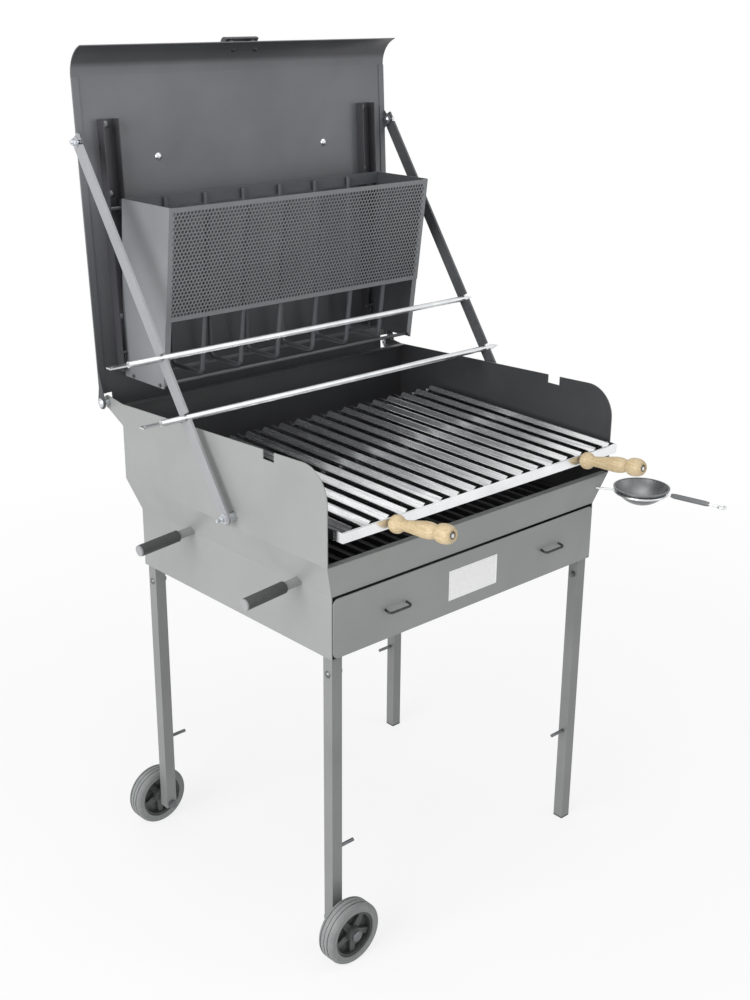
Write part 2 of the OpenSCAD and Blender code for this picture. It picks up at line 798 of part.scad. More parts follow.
// Axle bolts with a spacer and a washer beside the wheel and a nut behind the leg
module axle_bolts() {
    inner = leg_w / 2 + run_gap;
    outer = leg_w / 2 + 3 * run_gap + axle_spacer + hub_w;
    flats = axle_d * 1.625;
    color("#c9ccd0") place() for (sy = [-1, 1]) translate([-leg_x, sy * leg_y, wheel_r]) rotate([0, 0, sy > 0 ? -90 : 90]) {
        shaft_x(-outer - washer_t - seam, leg_w / 2 + nut_t + 1, axle_r);
        dome_x(-outer - washer_t - seam, axle_d * 0.95, axle_d * 0.55);
        ring_x(-outer - washer_t, -outer, washer_r + 1, axle_r + hole_gap);
        ring_x(-inner - axle_spacer, -inner, washer_r, axle_r + hole_gap);
        nut_x(leg_w / 2 + seam, nut_t, flats, axle_r + hole_gap);
    }
}

// Lid

// Puts the lid's own upright frame, with the hinge at its origin, in its place
module lid_place() {
    place() translate([0, hinge_y, hinge_z]) rotate([-lid_lean, 0, 0]) children();
}

// Cross-section of the lid: flat sheet and curl
module lid_profile() {
    far = 3 * curl_r;
    translate([lid_in, lid_start]) square([sheet, lid_flat - lid_start]);
    translate([curl_y, lid_flat]) intersection() {
        difference() {
            circle(r = curl_r, $fn = 96);
            circle(r = curl_r - sheet, $fn = 96);
        }
        polygon([[0, 0], [far, 0], [far, far], [far * cos(curl_turn), far * sin(curl_turn)]]);
    }
}

// Outline of the lugs bent forward from the lid's side edge, for the hinge bolt and the stud
module lug_outline() {
    difference() {
        union() {
            circle(r = ear_r);
            polygon([[-ear_r, 0], [ear_r, 0], [lid_offset, ear_r + 14], [lid_offset, 60], [lid_in, 60]]);
            translate([stud_y, stay_high]) circle(r = lug_r);
            polygon([
                [stud_y, stay_high - lug_r], [lid_offset, stay_high - 2 * lug_r],
                [lid_offset, stay_high + 2 * lug_r], [stud_y, stay_high + lug_r]]);
        }
        circle(r = hinge_bolt_r + hole_gap);
        translate([stud_y, stay_high]) circle(r = stay_bolt_r + hole_gap);
    }
}

// Lid with flat hems folded in along its sides
module lid_shell() {
    color("#5c5e60") lid_place() difference() {
        union() {
            slab_yz(-lid_half_w, lid_half_w) lid_profile();
            for (x = [-lid_half_w, lid_half_w - sheet]) slab_yz(x, x + sheet) lug_outline();
            for (x = [-lid_half_w, lid_half_w - hem_w])
                bar([x, lid_in - sheet, lid_start], [x + hem_w, lid_in + 0.5, lid_flat]);
            bar([-skirt_half, lid_in, -lid_skirt], [skirt_half, lid_offset, lid_start + 1]);
        }
        for (x = [-rail_x, rail_x], z = rail_bolt_up())
            translate([x, 0, z]) shaft_y(0, lid_offset + 5, stay_bolt_r + hole_gap);
        for (s = [-1, 1]) {
            translate([s * face_screw_x, 0, face_screw_up]) shaft_y(0, lid_offset + 5, stay_bolt_r + hole_gap);
            handle_axis(s) shaft_x(-10, 10, 2 + hole_gap);
        }
    }
}

// Bolts that hinge the lid on the ears of the side walls, with spacers, washers and nuts
module hinge_bolts() {
    inner = in_half_w - seam;
    head = -lid_half_w - run_gap - washer_t;
    color("#c9ccd0") place() translate([0, hinge_y, hinge_z]) both_sides() {
        dome_x(head, washer_r - 1, dome_h);
        ring_x(head + seam, -lid_half_w - run_gap, washer_r, hinge_bolt_r + hole_gap);
        ring_x(-lid_half_w + sheet + run_gap, -half_w - seam, washer_r - 1, hinge_bolt_r + hole_gap);
        shaft_x(head, -inner + nut_t + 2, hinge_bolt_r);
        nut_x(-inner, nut_t, nut_flats, hinge_bolt_r + hole_gap);
    }
}

// Axis of a handle screw, square to the curl half way round
module handle_axis(side) {
    translate([side * (handle_len / 2 - lid_grip_r), curl_y, lid_flat]) rotate([0, -90, 0]) rotate([0, 0, 45])
        translate([curl_r, 0, 0]) children();
}

// Plastic bow handle on the outside of the curl
module lid_handle() {
    grip_at = handle_stand - lid_grip_r;
    color("#3a3b3d") lid_place() difference() {
        translate([0, curl_y, lid_flat]) rotate([0, -90, 0]) rotate([0, 0, 45]) translate([curl_r + seam, 0, 0]) union() {
            for (s = [-1, 1]) translate([0, 0, s * (handle_len / 2 - lid_grip_r)]) rotate([0, 90, 0])
                cylinder(h = handle_stand - 5, r = lid_foot_r);
            intersection() {
                translate([grip_at, -lid_grip_r, -handle_len / 2]) cube([lid_grip_r, 2 * lid_grip_r, handle_len]);
                translate([grip_at, 0, 0]) cylinder(h = handle_len, r = lid_grip_r, center = true);
            }
        }
        for (s = [-1, 1]) handle_axis(s) shaft_x(-5, 15, 2 + hole_gap);
    }
}

// Screws that hold the lid handle, whose heads rest in the hollow of the curl
module lid_handle_screws() {
    head_r = 4.5;
    seat = sqrt(pow(curl_r - sheet - seam, 2) - head_r * head_r) - curl_r;
    color("#8b8d90") lid_place() for (s = [-1, 1]) handle_axis(s) {
        shaft_x(seat, 13, 2);
        dome_x(seat, head_r, 2.4);
    }
}

// Domed screws through the lid's face, with their nuts behind it
module lid_face_screws() {
    color("#d5d8dc") lid_place() for (s = [-1, 1]) translate([s * face_screw_x, 0, face_screw_up]) rotate([0, 0, 90]) {
        dome_x(lid_in - seam, dome_r + 0.5, dome_h);
        shaft_x(lid_in - seam, lid_offset + nut_t + 1, stay_bolt_r);
        nut_x(lid_offset + seam, nut_t, nut_flats, stay_bolt_r + hole_gap);
    }
}

// Heights of the rail bolts above the hinge
function rail_bolt_up() = [rail_high - 9, pin_high + 22, pin_low + 57];

// Channels inside the lid that the basket hangs in
module lid_rails() {
    color("#35363a") lid_place() both_sides() difference() {
        bar([rail_x - rail_w / 2, rail_front, rail_low], [rail_x + rail_w / 2, lid_in - seam, rail_high]);
        bar([rail_x - rail_w / 2 + sheet, rail_front - 1, rail_low - 1],
            [rail_x + rail_w / 2 - sheet, lid_in - seam - sheet, rail_high + 1]);
        for (z = rail_bolt_up()) translate([rail_x, 0, z]) shaft_y(0, lid_offset, stay_bolt_r + hole_gap);
        for (z = [pin_low, pin_high]) translate([rail_x, pin_y, z]) shaft_x(-rail_w, rail_w, pin_r + hole_gap);
    }
}

// Bolts that fasten the rails, with flat heads inside them and nuts behind the lid
module rail_bolts() {
    head = 2.4;
    web = lid_in - seam - sheet;
    color("#8b8d90") lid_place() for (x = [-rail_x, rail_x], z = rail_bolt_up()) translate([x, 0, z]) rotate([0, 0, 90]) {
        dome_x(web - seam, dome_r, head);
        shaft_x(web - seam, lid_offset + nut_t + 1, stay_bolt_r);
        nut_x(lid_offset + seam, nut_t, nut_flats, stay_bolt_r + hole_gap);
    }
}

// Pins across the rails that the basket's hooks hang on
module hanger_pins() {
    color("#8b8d90") lid_place() both_sides() for (z = [pin_low, pin_high])
        translate([rail_x, pin_y, z]) shaft_x(-rail_w / 2 - 1, rail_w / 2 + 1, pin_r);
}

// Bolts in the lid's flanges that the stays hook on, with spacers, washers and nuts
module lid_studs() {
    outer = stay_out + run_gap;
    color("#c9ccd0") lid_place() both_sides() translate([0, stud_y, stay_high]) {
        shaft_x(-outer - washer_t - nut_t - 3, -lid_half_w + sheet + seam + 1, stay_bolt_r);
        mirror([1, 0, 0]) dome_x(lid_half_w - sheet - seam, dome_r, dome_h);
        ring_x(-stay_in + run_gap, -lid_half_w - seam, washer_r - 1, stay_bolt_r + hole_gap);
        ring_x(-outer - washer_t, -outer, washer_r, stay_bolt_r + hole_gap);
        nut_x(-outer - washer_t - seam - nut_t, nut_t, nut_flats, stay_bolt_r + hole_gap);
    }
}

// Stays

// Flat bar with two skewer notches on its front edge and a hook for the lid's stud
module stay_outline() {
    end = 9;
    seat_r = skewer_r + run_gap;
    hook_r = stay_bolt_r + run_gap;
    difference() {
        translate([stay_y0, stay_z0]) rotate(-stay_angle) union() {
            translate([-stay_w / 2, 0]) square([stay_w, stay_len]);
            circle(r = stay_w / 2);
            translate([-stay_w / 2, stay_len]) square([stay_w, end]);
        }
        translate([stay_y0, stay_z0]) circle(r = stay_bolt_r + hole_gap);
        for (t = [skewer_at_low, skewer_at_high]) translate(on_stay(t)) rotate(-stay_angle) {
            circle(r = seat_r);
            translate([-stay_w, -seat_r]) square([stay_w, 2 * seat_r]);
        }
        translate(stud) rotate(-lid_lean) {
            circle(r = hook_r);
            translate([-2 * stay_w, -hook_r]) square([2 * stay_w, 2 * hook_r]);
        }
    }
}

module stay_left() {
    color("#8f9195") place() slab_yz(-stay_out, -stay_in) stay_outline();
}

module stay_right() {
    color("#8f9195") place() slab_yz(stay_in, stay_out) stay_outline();
}

// Bolts that hold the stays on the side walls, with spacers, washers and nuts
module stay_bolts() {
    color("#c9ccd0") place() translate([0, stay_y0, stay_z0]) both_sides() {
        shaft_x(-stay_out - washer_t - nut_t - 8, -in_half_w + seam, stay_bolt_r);
        mirror([1, 0, 0]) dome_x(in_half_w - seam, dome_r, dome_h);
        ring_x(-stay_in + seam, -half_w - seam, washer_r, stay_bolt_r + hole_gap);
        ring_x(-stay_out - seam - washer_t, -stay_out - seam, washer_r, stay_bolt_r + hole_gap);
        nut_x(-stay_out - 2 * seam - washer_t - nut_t, nut_t, nut_flats, stay_bolt_r + hole_gap);
    }
}

// Skewer with a flat tab with a hole on its left end and a point on its right end
module skewer(t, shift) {
    left = -stay_out - skewer_out - shift;
    tip = left + skewer_len - skewer_point;
    spot = on_stay(t);
    color("#d0d3d6") place() translate([0, spot[0], spot[1]]) {
        difference() {
            union() {
                shaft_x(left + tab_len, tip, skewer_r);
                translate([tip, 0, 0]) rotate([0, 90, 0]) cylinder(h = skewer_point, r1 = skewer_r, r2 = 0.6);
                translate([left, -tab_w / 2, -tab_t / 2]) cube([tab_len + 4, tab_w, tab_t]);
            }
            translate([left + tab_w / 2, 0, -5]) cylinder(h = 10, r = 2.6);
        }
    }
}

module skewer_upper() { skewer(skewer_at_high, skewer_shift); }
module skewer_lower() { skewer(skewer_at_low, 0); }

// Fire basket

// Puts the basket's leaning front plane in the XZ plane, with its lower edge at z 0
module basket_front_place() {
    place() translate([0, basket_front_low, basket_z]) rotate([basket_lean, 0, 0]) children();
}

// Slot that drops over a hanger pin along the lifting direction
module pin_slot(up) {
    slot_r = pin_r + run_gap;
    translate(lid_pt(pin_y, up)) rotate(lift_tilt) {
        circle(r = slot_r);
        translate([-slot_r, -4 * hook_tall]) square([2 * slot_r, 4 * hook_tall]);
    }
}

// Outline of a side plate, whose lower rear edge reaches into the rail
module plate_outline() {
    reach = pin_y + hook_behind;
    difference() {
        polygon([
            [basket_front_low, basket_z], lid_pt(reach, basket_low), lid_pt(reach, pin_low + hook_tall),
            [basket_back, basket_top], [basket_front_top, basket_top]]);
        pin_slot(pin_low);
    }
}

// Left side plate with its bent front flange, whose lower end is cut at an angle
module basket_plate() {
    difference() {
        union() {
            slab_yz(-basket_half, -basket_half + sheet) plate_outline();
            translate([0, basket_front_low, basket_z]) rotate([basket_lean, 0, 0]) slab_xz(0, sheet)
                polygon([
                    [-basket_half, 0], [-basket_half + basket_flange, basket_flange],
                    [-basket_half + basket_flange, front_len - 1], [-basket_half, front_len - 1]]);
        }
        for (p = tie_spots()) translate([0, p[0], p[1]]) shaft_x(-basket_half - 5, 0, tie_r + hole_gap);
    }
}

module basket_side_left() {
    color("#a5a8ab") place() basket_plate();
}

module basket_side_right() {
    color("#a5a8ab") place() mirror([1, 0, 0]) basket_plate();
}

// Centres of the two tie rods under the U-shaped rods
function tie_spots() = [
    [basket_front_low + 9, basket_z + tie_r + 2],
    [basket_back - 9, basket_z + tie_r + 2]];

module basket_tie_rods() {
    color("#6f7276") place() for (p = tie_spots()) translate([0, p[0], p[1]])
        shaft_x(-basket_half - 3, basket_half + 3, tie_r);
}

// U-shaped rods that make the basket's front, bottom and rear
module basket_rods() {
    floor_z = basket_z + 2 * tie_r + 2 + seam + u_rod_r;
    back_y = basket_back - rear_rail_t - seam - u_rod_r;
    top_up = front_len - 8;
    front_top = [
        basket_front_low - top_up * sin(basket_lean) + u_behind * cos(basket_lean),
        basket_z + top_up * cos(basket_lean) + u_behind * sin(basket_lean)];
    corner_up = (floor_z - basket_z - u_behind * sin(basket_lean)) / cos(basket_lean);
    front_low = [
        basket_front_low - corner_up * sin(basket_lean) + u_behind * cos(basket_lean),
        floor_z];
    color("#5d6064") place() for (i = [0:u_rods - 1])
        translate([(i - (u_rods - 1) / 2) * u_pitch, 0, 0]) rotate([90, 0, 90])
            wire([front_top, front_low, [back_y, floor_z], [back_y, basket_top - 3]], u_bend, u_rod_r);
}

// Flat bar across the rear with two hooks that hang on the upper pins
module basket_rear_rail() {
    x = basket_half - sheet - seam;
    hook_x = rail_x - rail_w / 2 + 2 * sheet;
    at = lid_pt(pin_y, pin_high);
    color("#5d6064") place() {
        bar([-x, basket_back - rear_rail_t, basket_top - rear_rail_h], [x, basket_back, basket_top]);
        both_sides() slab_yz(-hook_x - sheet, -hook_x) difference() {
            translate([basket_back - 1, at[1] - hook_tall]) square([at[0] + hook_behind - basket_back + 1, 2 * hook_tall]);
            pin_slot(pin_high);
        }
    }
}

// Perforated sheet in front of the flanges, with staggered rows of holes
module basket_front_sheet() {
    half = basket_half;
    low = front_len - 1 - perf_h;
    rim = 12;
    row = perf_pitch * cos(30);
    rows = floor((perf_h - 2 * rim) / row);
    cols = floor((2 * half - 2 * basket_flange) / perf_pitch);
    color("#8d9194") basket_front_place() slab_xz(-seam - perf_t, -seam) difference() {
        translate([-half, low]) square([2 * half, perf_h]);
        for (j = [0:rows - 1], i = [0:cols - 1 - j % 2])
            translate([(i - (cols - 1 - j % 2) / 2) * perf_pitch, low + rim + (j + 0.5) * row]) circle(r = perf_d / 2);
    }
}

// Ash drawer

module drawer_front() {
    low = leg_h + 1;
    color("#93958f") place() difference() {
        slab_xz(drawer_face, drawer_in) union() {
            translate([-drawer_half_w + drawer_r, low]) square([2 * (drawer_half_w - drawer_r), drawer_top - low]);
            translate([-drawer_half_w, low + drawer_r]) square([2 * drawer_half_w, drawer_top - low - 2 * drawer_r]);
            for (x = [-1, 1], z = [low + drawer_r, drawer_top - drawer_r])
                translate([x * (drawer_half_w - drawer_r), z]) circle(r = drawer_r);
        }
    }
}

// Open tray behind the drawer front
module drawer_tray() {
    low = leg_h + sheet + run_gap;
    front = drawer_in + seam;
    color("#4b4c4d") place() difference() {
        bar([-tray_half_w, front, low], [tray_half_w, tray_back, low + tray_h]);
        bar([-tray_half_w + sheet, front + sheet, low + sheet], [tray_half_w - sheet, tray_back - sheet, low + tray_h + 1]);
    }
}

// Wire bows that the drawer is pulled by
module drawer_bows() {
    color("#8b8d90") place() for (s = [-1, 1])
        translate([s * bow_x + bow_shift, drawer_face - seam, bow_z]) rotate([bow_droop, 0, 0]) difference() {
            wire([
                [-bow_w / 2, bow_r], [-bow_w / 2 - bow_flare, -bow_out + bow_r],
                [bow_w / 2 + bow_flare, -bow_out + bow_r], [bow_w / 2, bow_r]], bow_bend, bow_r);
            rotate([-bow_droop, 0, 0]) bar([-bow_w, 0, -bow_w], [bow_w, bow_w, bow_w]);
        }
}

module blank_plate() {
    color("#e6e6e2") place() bar(
        [-plate_w / 2, drawer_face - seam - plate_t, plate_z - plate_h / 2],
        [plate_w / 2, drawer_face - seam, plate_z + plate_h / 2]);
}

// Charcoal grate

module charcoal_grate() {
    step = (2 * grate_half_w - grate_bar_w) / (grate_bars - 1);
    rail = 10;
    color("#3b3c3e") place() translate([0, 0, grate_z]) union() {
        for (i = [0:grate_bars - 1]) translate([-grate_half_w + i * step, -grate_half_d, 0])
            cube([grate_bar_w, 2 * grate_half_d, grate_bar_h]);
        for (y = [-grate_half_d, -rail / 2, grate_half_d - rail]) translate([-grate_half_w, y, 0])
            cube([2 * grate_half_w, rail, grate_bar_h / 2]);
    }
}

// Grill

// Puts the grill's own frame in its place: y back along the slope, z square to it
module grill_place() {
    translate([0, grill_y, grill_z]) rotate([grill_slope, 0, 0]) children();
}

// V-shaped bars that lead the fat to the gutter
module grill_bars() {
    step = (2 * grill_half - 2 * bar_side_t - v_w - 2) / (v_bars - 1);
    inner = v_t * sqrt(2);
    color("#dfe2e4") place() grill_place() for (i = [0:v_bars - 1])
        translate([(i - (v_bars - 1) / 2) * step, 0, 0]) slab_xz(-v_over, grill_len - 1) polygon([
            [-v_w / 2, 0], [0, -v_deep], [v_w / 2, 0], [v_w / 2 - inner, 0], [0, -v_deep + inner], [-v_w / 2 + inner, 0]]);
}

// Side bars and cross bars under the V-shaped bars
module grill_frame() {
    cross_w = 12;
    top = -v_deep - seam;
    color("#c4c8cb") place() grill_place() union() {
        for (x = [-grill_half, grill_half - bar_side_t])
            bar([x, seam, -frame_deep], [x + bar_side_t, grill_len, 0]);
        for (y = [grill_len / 2 - cross_w / 2, grill_len - cross_w])
            bar([-grill_half + 1, y, top - cross_t], [grill_half - 1, y + cross_w, top]);
    }
}

// Gutter with a low rear wall, closed ends and a drain hole above the pan
module grill_gutter() {
    half = grill_half;
    rear_top = -v_deep - seam;
    drain_r = 4;
    color("#e4e6e8") place() grill_place() difference() {
        bar([-half, -gutter_w, -gutter_deep], [half, 0, 1]);
        bar([-half + gutter_t, -gutter_w + gutter_t, -gutter_deep + gutter_t], [half - gutter_t, -gutter_t, 2]);
        bar([-half - 1, -gutter_t - 0.01, rear_top], [half + 1, 1, 2]);
        translate([half - 14, -gutter_w / 2, -gutter_deep - 1]) cylinder(h = 3, r = drain_r);
    }
}

// Frame of a grill handle: x runs out along the handle from the gutter's front face
module handle_place(side) {
    translate([side * handle_x, -gutter_w - seam, -gutter_deep / 2]) rotate([-handle_rise + grill_slope, 0, 0])
        rotate([0, 0, -90]) children();
}

module grill_handle_rods() {
    color("#c9ccd0") place() grill_place() for (s = [-1, 1]) difference() {
        handle_place(s) shaft_x(-2, wood_gap + wood_len - 2, handle_rod_r);
        bar([-half_w, -gutter_w - seam, -50], [half_w, 0, 50]);
    }
}

// Turned handle: inner ball, waist, belly, neck and end ball, with a bore for the rod
module wood_handle(side) {
    inner_r = ball_d * 0.43;
    waist_r = ball_d * 0.31;
    belly_r = ball_d * 0.44;
    neck_r = ball_d * 0.36;
    end_r = ball_d / 2;
    belly_at = wood_len * 0.6;
    color("#d9b678") place() grill_place() handle_place(side) translate([wood_gap, 0, 0]) rotate([0, 90, 0])
        rotate_extrude() difference() {
            union() {
                translate([0, inner_r]) intersection() {
                    circle(r = inner_r);
                    translate([0, -inner_r]) square(2 * inner_r);
                }
                polygon([
                    [0, inner_r], [waist_r + 1, inner_r + 6], [waist_r, inner_r + 14], [waist_r + 1.5, belly_at - 22],
                    [belly_r - 1, belly_at - 8], [belly_r, belly_at], [belly_r - 1, belly_at + 9],
                    [neck_r, wood_len - 2 * end_r + 3], [neck_r, wood_len - end_r], [0, wood_len - end_r]]);
                translate([0, wood_len - end_r]) intersection() {
                    circle(r = end_r);
                    translate([0, -end_r]) square(2 * end_r - 1.5);
                }
            }
            translate([0, -1]) square([wood_bore_r, wood_len + 2]);
            translate([0, wood_len - 9]) square([6.2, 10]);
        }
}

module wood_handle_left() { wood_handle(-1); }
module wood_handle_right() { wood_handle(1); }

// Nuts in the recessed ends of the wooden handles
module handle_nuts() {
    color("#8b8d90") place() grill_place() for (s = [-1, 1]) handle_place(s)
        nut_x(wood_gap + wood_len - 9 + seam, nut_t, nut_flats, handle_rod_r + hole_gap);
}

// Side grips

module grip_place(y) {
    place() translate([-band_x(grip_z), y, grip_z]) rotate([0, -grip_droop, 0]) children();
}

// Tubes on the left wall that carry the grips
module grip_tubes() {
    color("#b9bcb8") for (y = [-grip_front, grip_rear]) difference() {
        grip_place(y) ring_x(-grip_bare - grip_len, 6, grip_tube_d / 2, grip_tube_d / 2 - 1.5);
        place() slab_xz(-half_d, half_d) polygon([
            [-low_half_w - seam, leg_h], [-low_half_w - seam, kink_low_z], [-half_w - seam, kink_high_z],
            [0, kink_high_z], [0, leg_h]]);
    }
}

module side_grip(y) {
    r = grip_d / 2;
    bore = grip_tube_d / 2 + hole_gap;
    bevel = min(3, (r - bore) * 0.6);
    color("#252527") grip_place(y) translate([-grip_bare - grip_len, 0, 0]) rotate([0, 90, 0]) rotate_extrude()
        polygon([
            [bore, 0], [r, 0], [r, grip_len - bevel], [r - bevel, grip_len], [bore, grip_len]]);
}

module side_grip_front() { side_grip(-grip_front); }
module side_grip_rear() { side_grip(grip_rear); }

// Caps that close the outer ends of the grips
module grip_caps() {
    color("#8f9194") for (y = [-grip_front, grip_rear]) grip_place(y) union() {
        shaft_x(-grip_bare - grip_len - grip_cap_t, -grip_bare - grip_len - seam, grip_d / 2 - 0.5);
        shaft_x(-grip_bare - grip_len - 1, -grip_bare - grip_len + 8, grip_tube_d / 2 - 1.7);
    }
}

// Fat pan

// Frame of the pan, with its rim's centre at the origin and -Y along the handle
module pan_place() {
    place() translate([pan_cx, pan_cy, pan_z]) rotate([0, 0, pan_turn]) children();
}

// Wire ring that the pan sits in, with its arms welded to the apron
module pan_holder() {
    tail_x = half_w - side_inset - 4;
    tail_z = pan_z - ring_drop;
    a = [tail_x - pan_cx, -band_y(tail_z) - seam - pan_cy, -ring_drop];
    out = ring_reach / norm([a[0], a[1]]);
    color("#c9ccd0") place() difference() {
        translate([pan_cx, pan_cy, pan_z]) union() {
            translate([0, 0, -ring_drop]) rotate_extrude($fn = 64) translate([ring_reach, 0]) circle(r = ring_wire_r, $fn = 24);
            rod([a[0] * out, a[1] * out, -ring_drop], a + [0, 6, 0], ring_arm_r);
        }
        slab_yz(0, half_w) polygon([
            [-low_half_d - seam, leg_h], [-low_half_d - seam, kink_low_z], [-half_d - seam, kink_high_z],
            [0, kink_high_z], [0, leg_h]]);
    }
}

module pan_bowl() {
    color("#9a9da0") pan_place() rotate_extrude($fn = 96) union() {
        translate([0, pan_up]) intersection() {
            difference() {
                circle(r = pan_ball, $fn = 180);
                circle(r = pan_ball - pan_t, $fn = 180);
            }
            translate([0, -pan_ball - 1]) square([pan_r + 5, pan_deep + 1]);
        }
        translate([pan_rim_r - pan_rim_w, -pan_t]) square([pan_rim_w, pan_t]);
    }
}

// Wire handle with a hanging loop at its end
module pan_handle() {
    far = pan_reach - loop_r;
    color("#c9ccd0") pan_place() translate([0, 0, -pan_t - seam - pan_wire_r]) difference() {
        union() {
            shaft_y(-far + loop_r, -pan_r + 6, pan_wire_r);
            translate([0, -far, 0]) rotate_extrude() translate([loop_r, 0]) circle(r = pan_wire_r, $fn = 24);
        }
        translate([0, 0, pan_t + seam + pan_wire_r + pan_up]) sphere(r = pan_ball + seam, $fn = 120);
    }
}

module pan_grip() {
    bore = pan_wire_r + hole_gap;
    color("#7f8285") pan_place() translate([0, -pan_grip_at, -pan_t - seam - pan_wire_r]) rotate([90, 0, 0]) rotate_extrude()
        polygon([
            [bore, 0], [3.5, 0], [pan_grip_r, 6], [pan_grip_r, pan_grip_len - 6], [3.5, pan_grip_len], [bore, pan_grip_len]]);
}

side_panel_left();
side_panel_right();
rear_wall();
front_apron();
floor_plate();
leg_stubs();
leg_front_left();
leg_front_right();
leg_rear_left();
leg_rear_right();
leg_bolts();
leg_plugs();
shelf_pegs();
grill_ledges();
grate_ledge();
hinge_bolts();
stay_left();
stay_right();
stay_bolts();
grip_tubes();
side_grip_front();
side_grip_rear();
grip_caps();
axle_bolts();
pan_holder();
lid_shell();
lid_handle();
lid_handle_screws();
lid_rails();
rail_bolts();
hanger_pins();
lid_studs();
lid_face_screws();
basket_side_left();
basket_side_right();
basket_rods();
basket_tie_rods();
basket_rear_rail();
basket_front_sheet();
drawer_front();
drawer_tray();
drawer_bows();
blank_plate();
grill_gutter();
grill_bars();
grill_frame();
grill_handle_rods();
wood_handle_left();
wood_handle_right();
handle_nuts();
charcoal_grate();
skewer_upper();
skewer_lower();
tyre_front();
hub_front();
tyre_rear();
hub_rear();
pan_bowl();
pan_handle();
pan_grip();
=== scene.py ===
"""Looks of a charcoal barbecue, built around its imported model.

Lengths are metres. Every new piece rides on a body of the model and keeps to
the place of the node that it stands for.
"""
import logging
import math
import random
from dataclasses import dataclass, field, replace
from enum import Enum

import bmesh
import bpy
from mathutils import Matrix, Vector


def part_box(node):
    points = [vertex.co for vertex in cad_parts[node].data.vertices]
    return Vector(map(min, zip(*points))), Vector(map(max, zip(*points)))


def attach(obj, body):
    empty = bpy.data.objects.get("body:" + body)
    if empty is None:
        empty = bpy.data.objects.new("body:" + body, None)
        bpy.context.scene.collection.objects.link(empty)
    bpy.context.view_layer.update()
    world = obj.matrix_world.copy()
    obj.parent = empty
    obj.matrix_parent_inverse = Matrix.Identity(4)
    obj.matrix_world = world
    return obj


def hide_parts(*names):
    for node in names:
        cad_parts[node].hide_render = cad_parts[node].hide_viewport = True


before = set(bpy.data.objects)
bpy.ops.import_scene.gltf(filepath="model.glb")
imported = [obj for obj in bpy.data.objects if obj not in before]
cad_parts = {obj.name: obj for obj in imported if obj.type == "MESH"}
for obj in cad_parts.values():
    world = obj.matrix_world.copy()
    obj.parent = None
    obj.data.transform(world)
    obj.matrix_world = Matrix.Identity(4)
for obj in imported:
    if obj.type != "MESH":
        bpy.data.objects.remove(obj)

Socket = bpy.types.NodeSocket
Colour = tuple[float, float, float]
LOG = logging.getLogger("barbecue")
MM = 0.001
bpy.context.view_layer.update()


class Grain(Enum):
    """Direction in which a surface's fine marks are drawn out."""

    NONE = (1.0, 1.0, 1.0)
    ALONG_X = (0.04, 1.0, 1.0)
    ALONG_Y = (1.0, 0.04, 1.0)
    ALONG_Z = (1.0, 1.0, 0.04)


class Node(Enum):
    """Shader nodes used by the finishes."""

    COORD = "ShaderNodeTexCoord"
    MAPPING = "ShaderNodeMapping"
    NOISE = "ShaderNodeTexNoise"
    VORONOI = "ShaderNodeTexVoronoi"
    WAVE = "ShaderNodeTexWave"
    RAMP = "ShaderNodeValToRGB"
    MIX = "ShaderNodeMix"
    RANGE = "ShaderNodeMapRange"
    MATH = "ShaderNodeMath"
    VECTOR = "ShaderNodeVectorMath"
    BUMP = "ShaderNodeBump"
    SPLIT = "ShaderNodeSeparateXYZ"
    SHADER = "ShaderNodeBsdfPrincipled"
    OUTPUT = "ShaderNodeOutputMaterial"


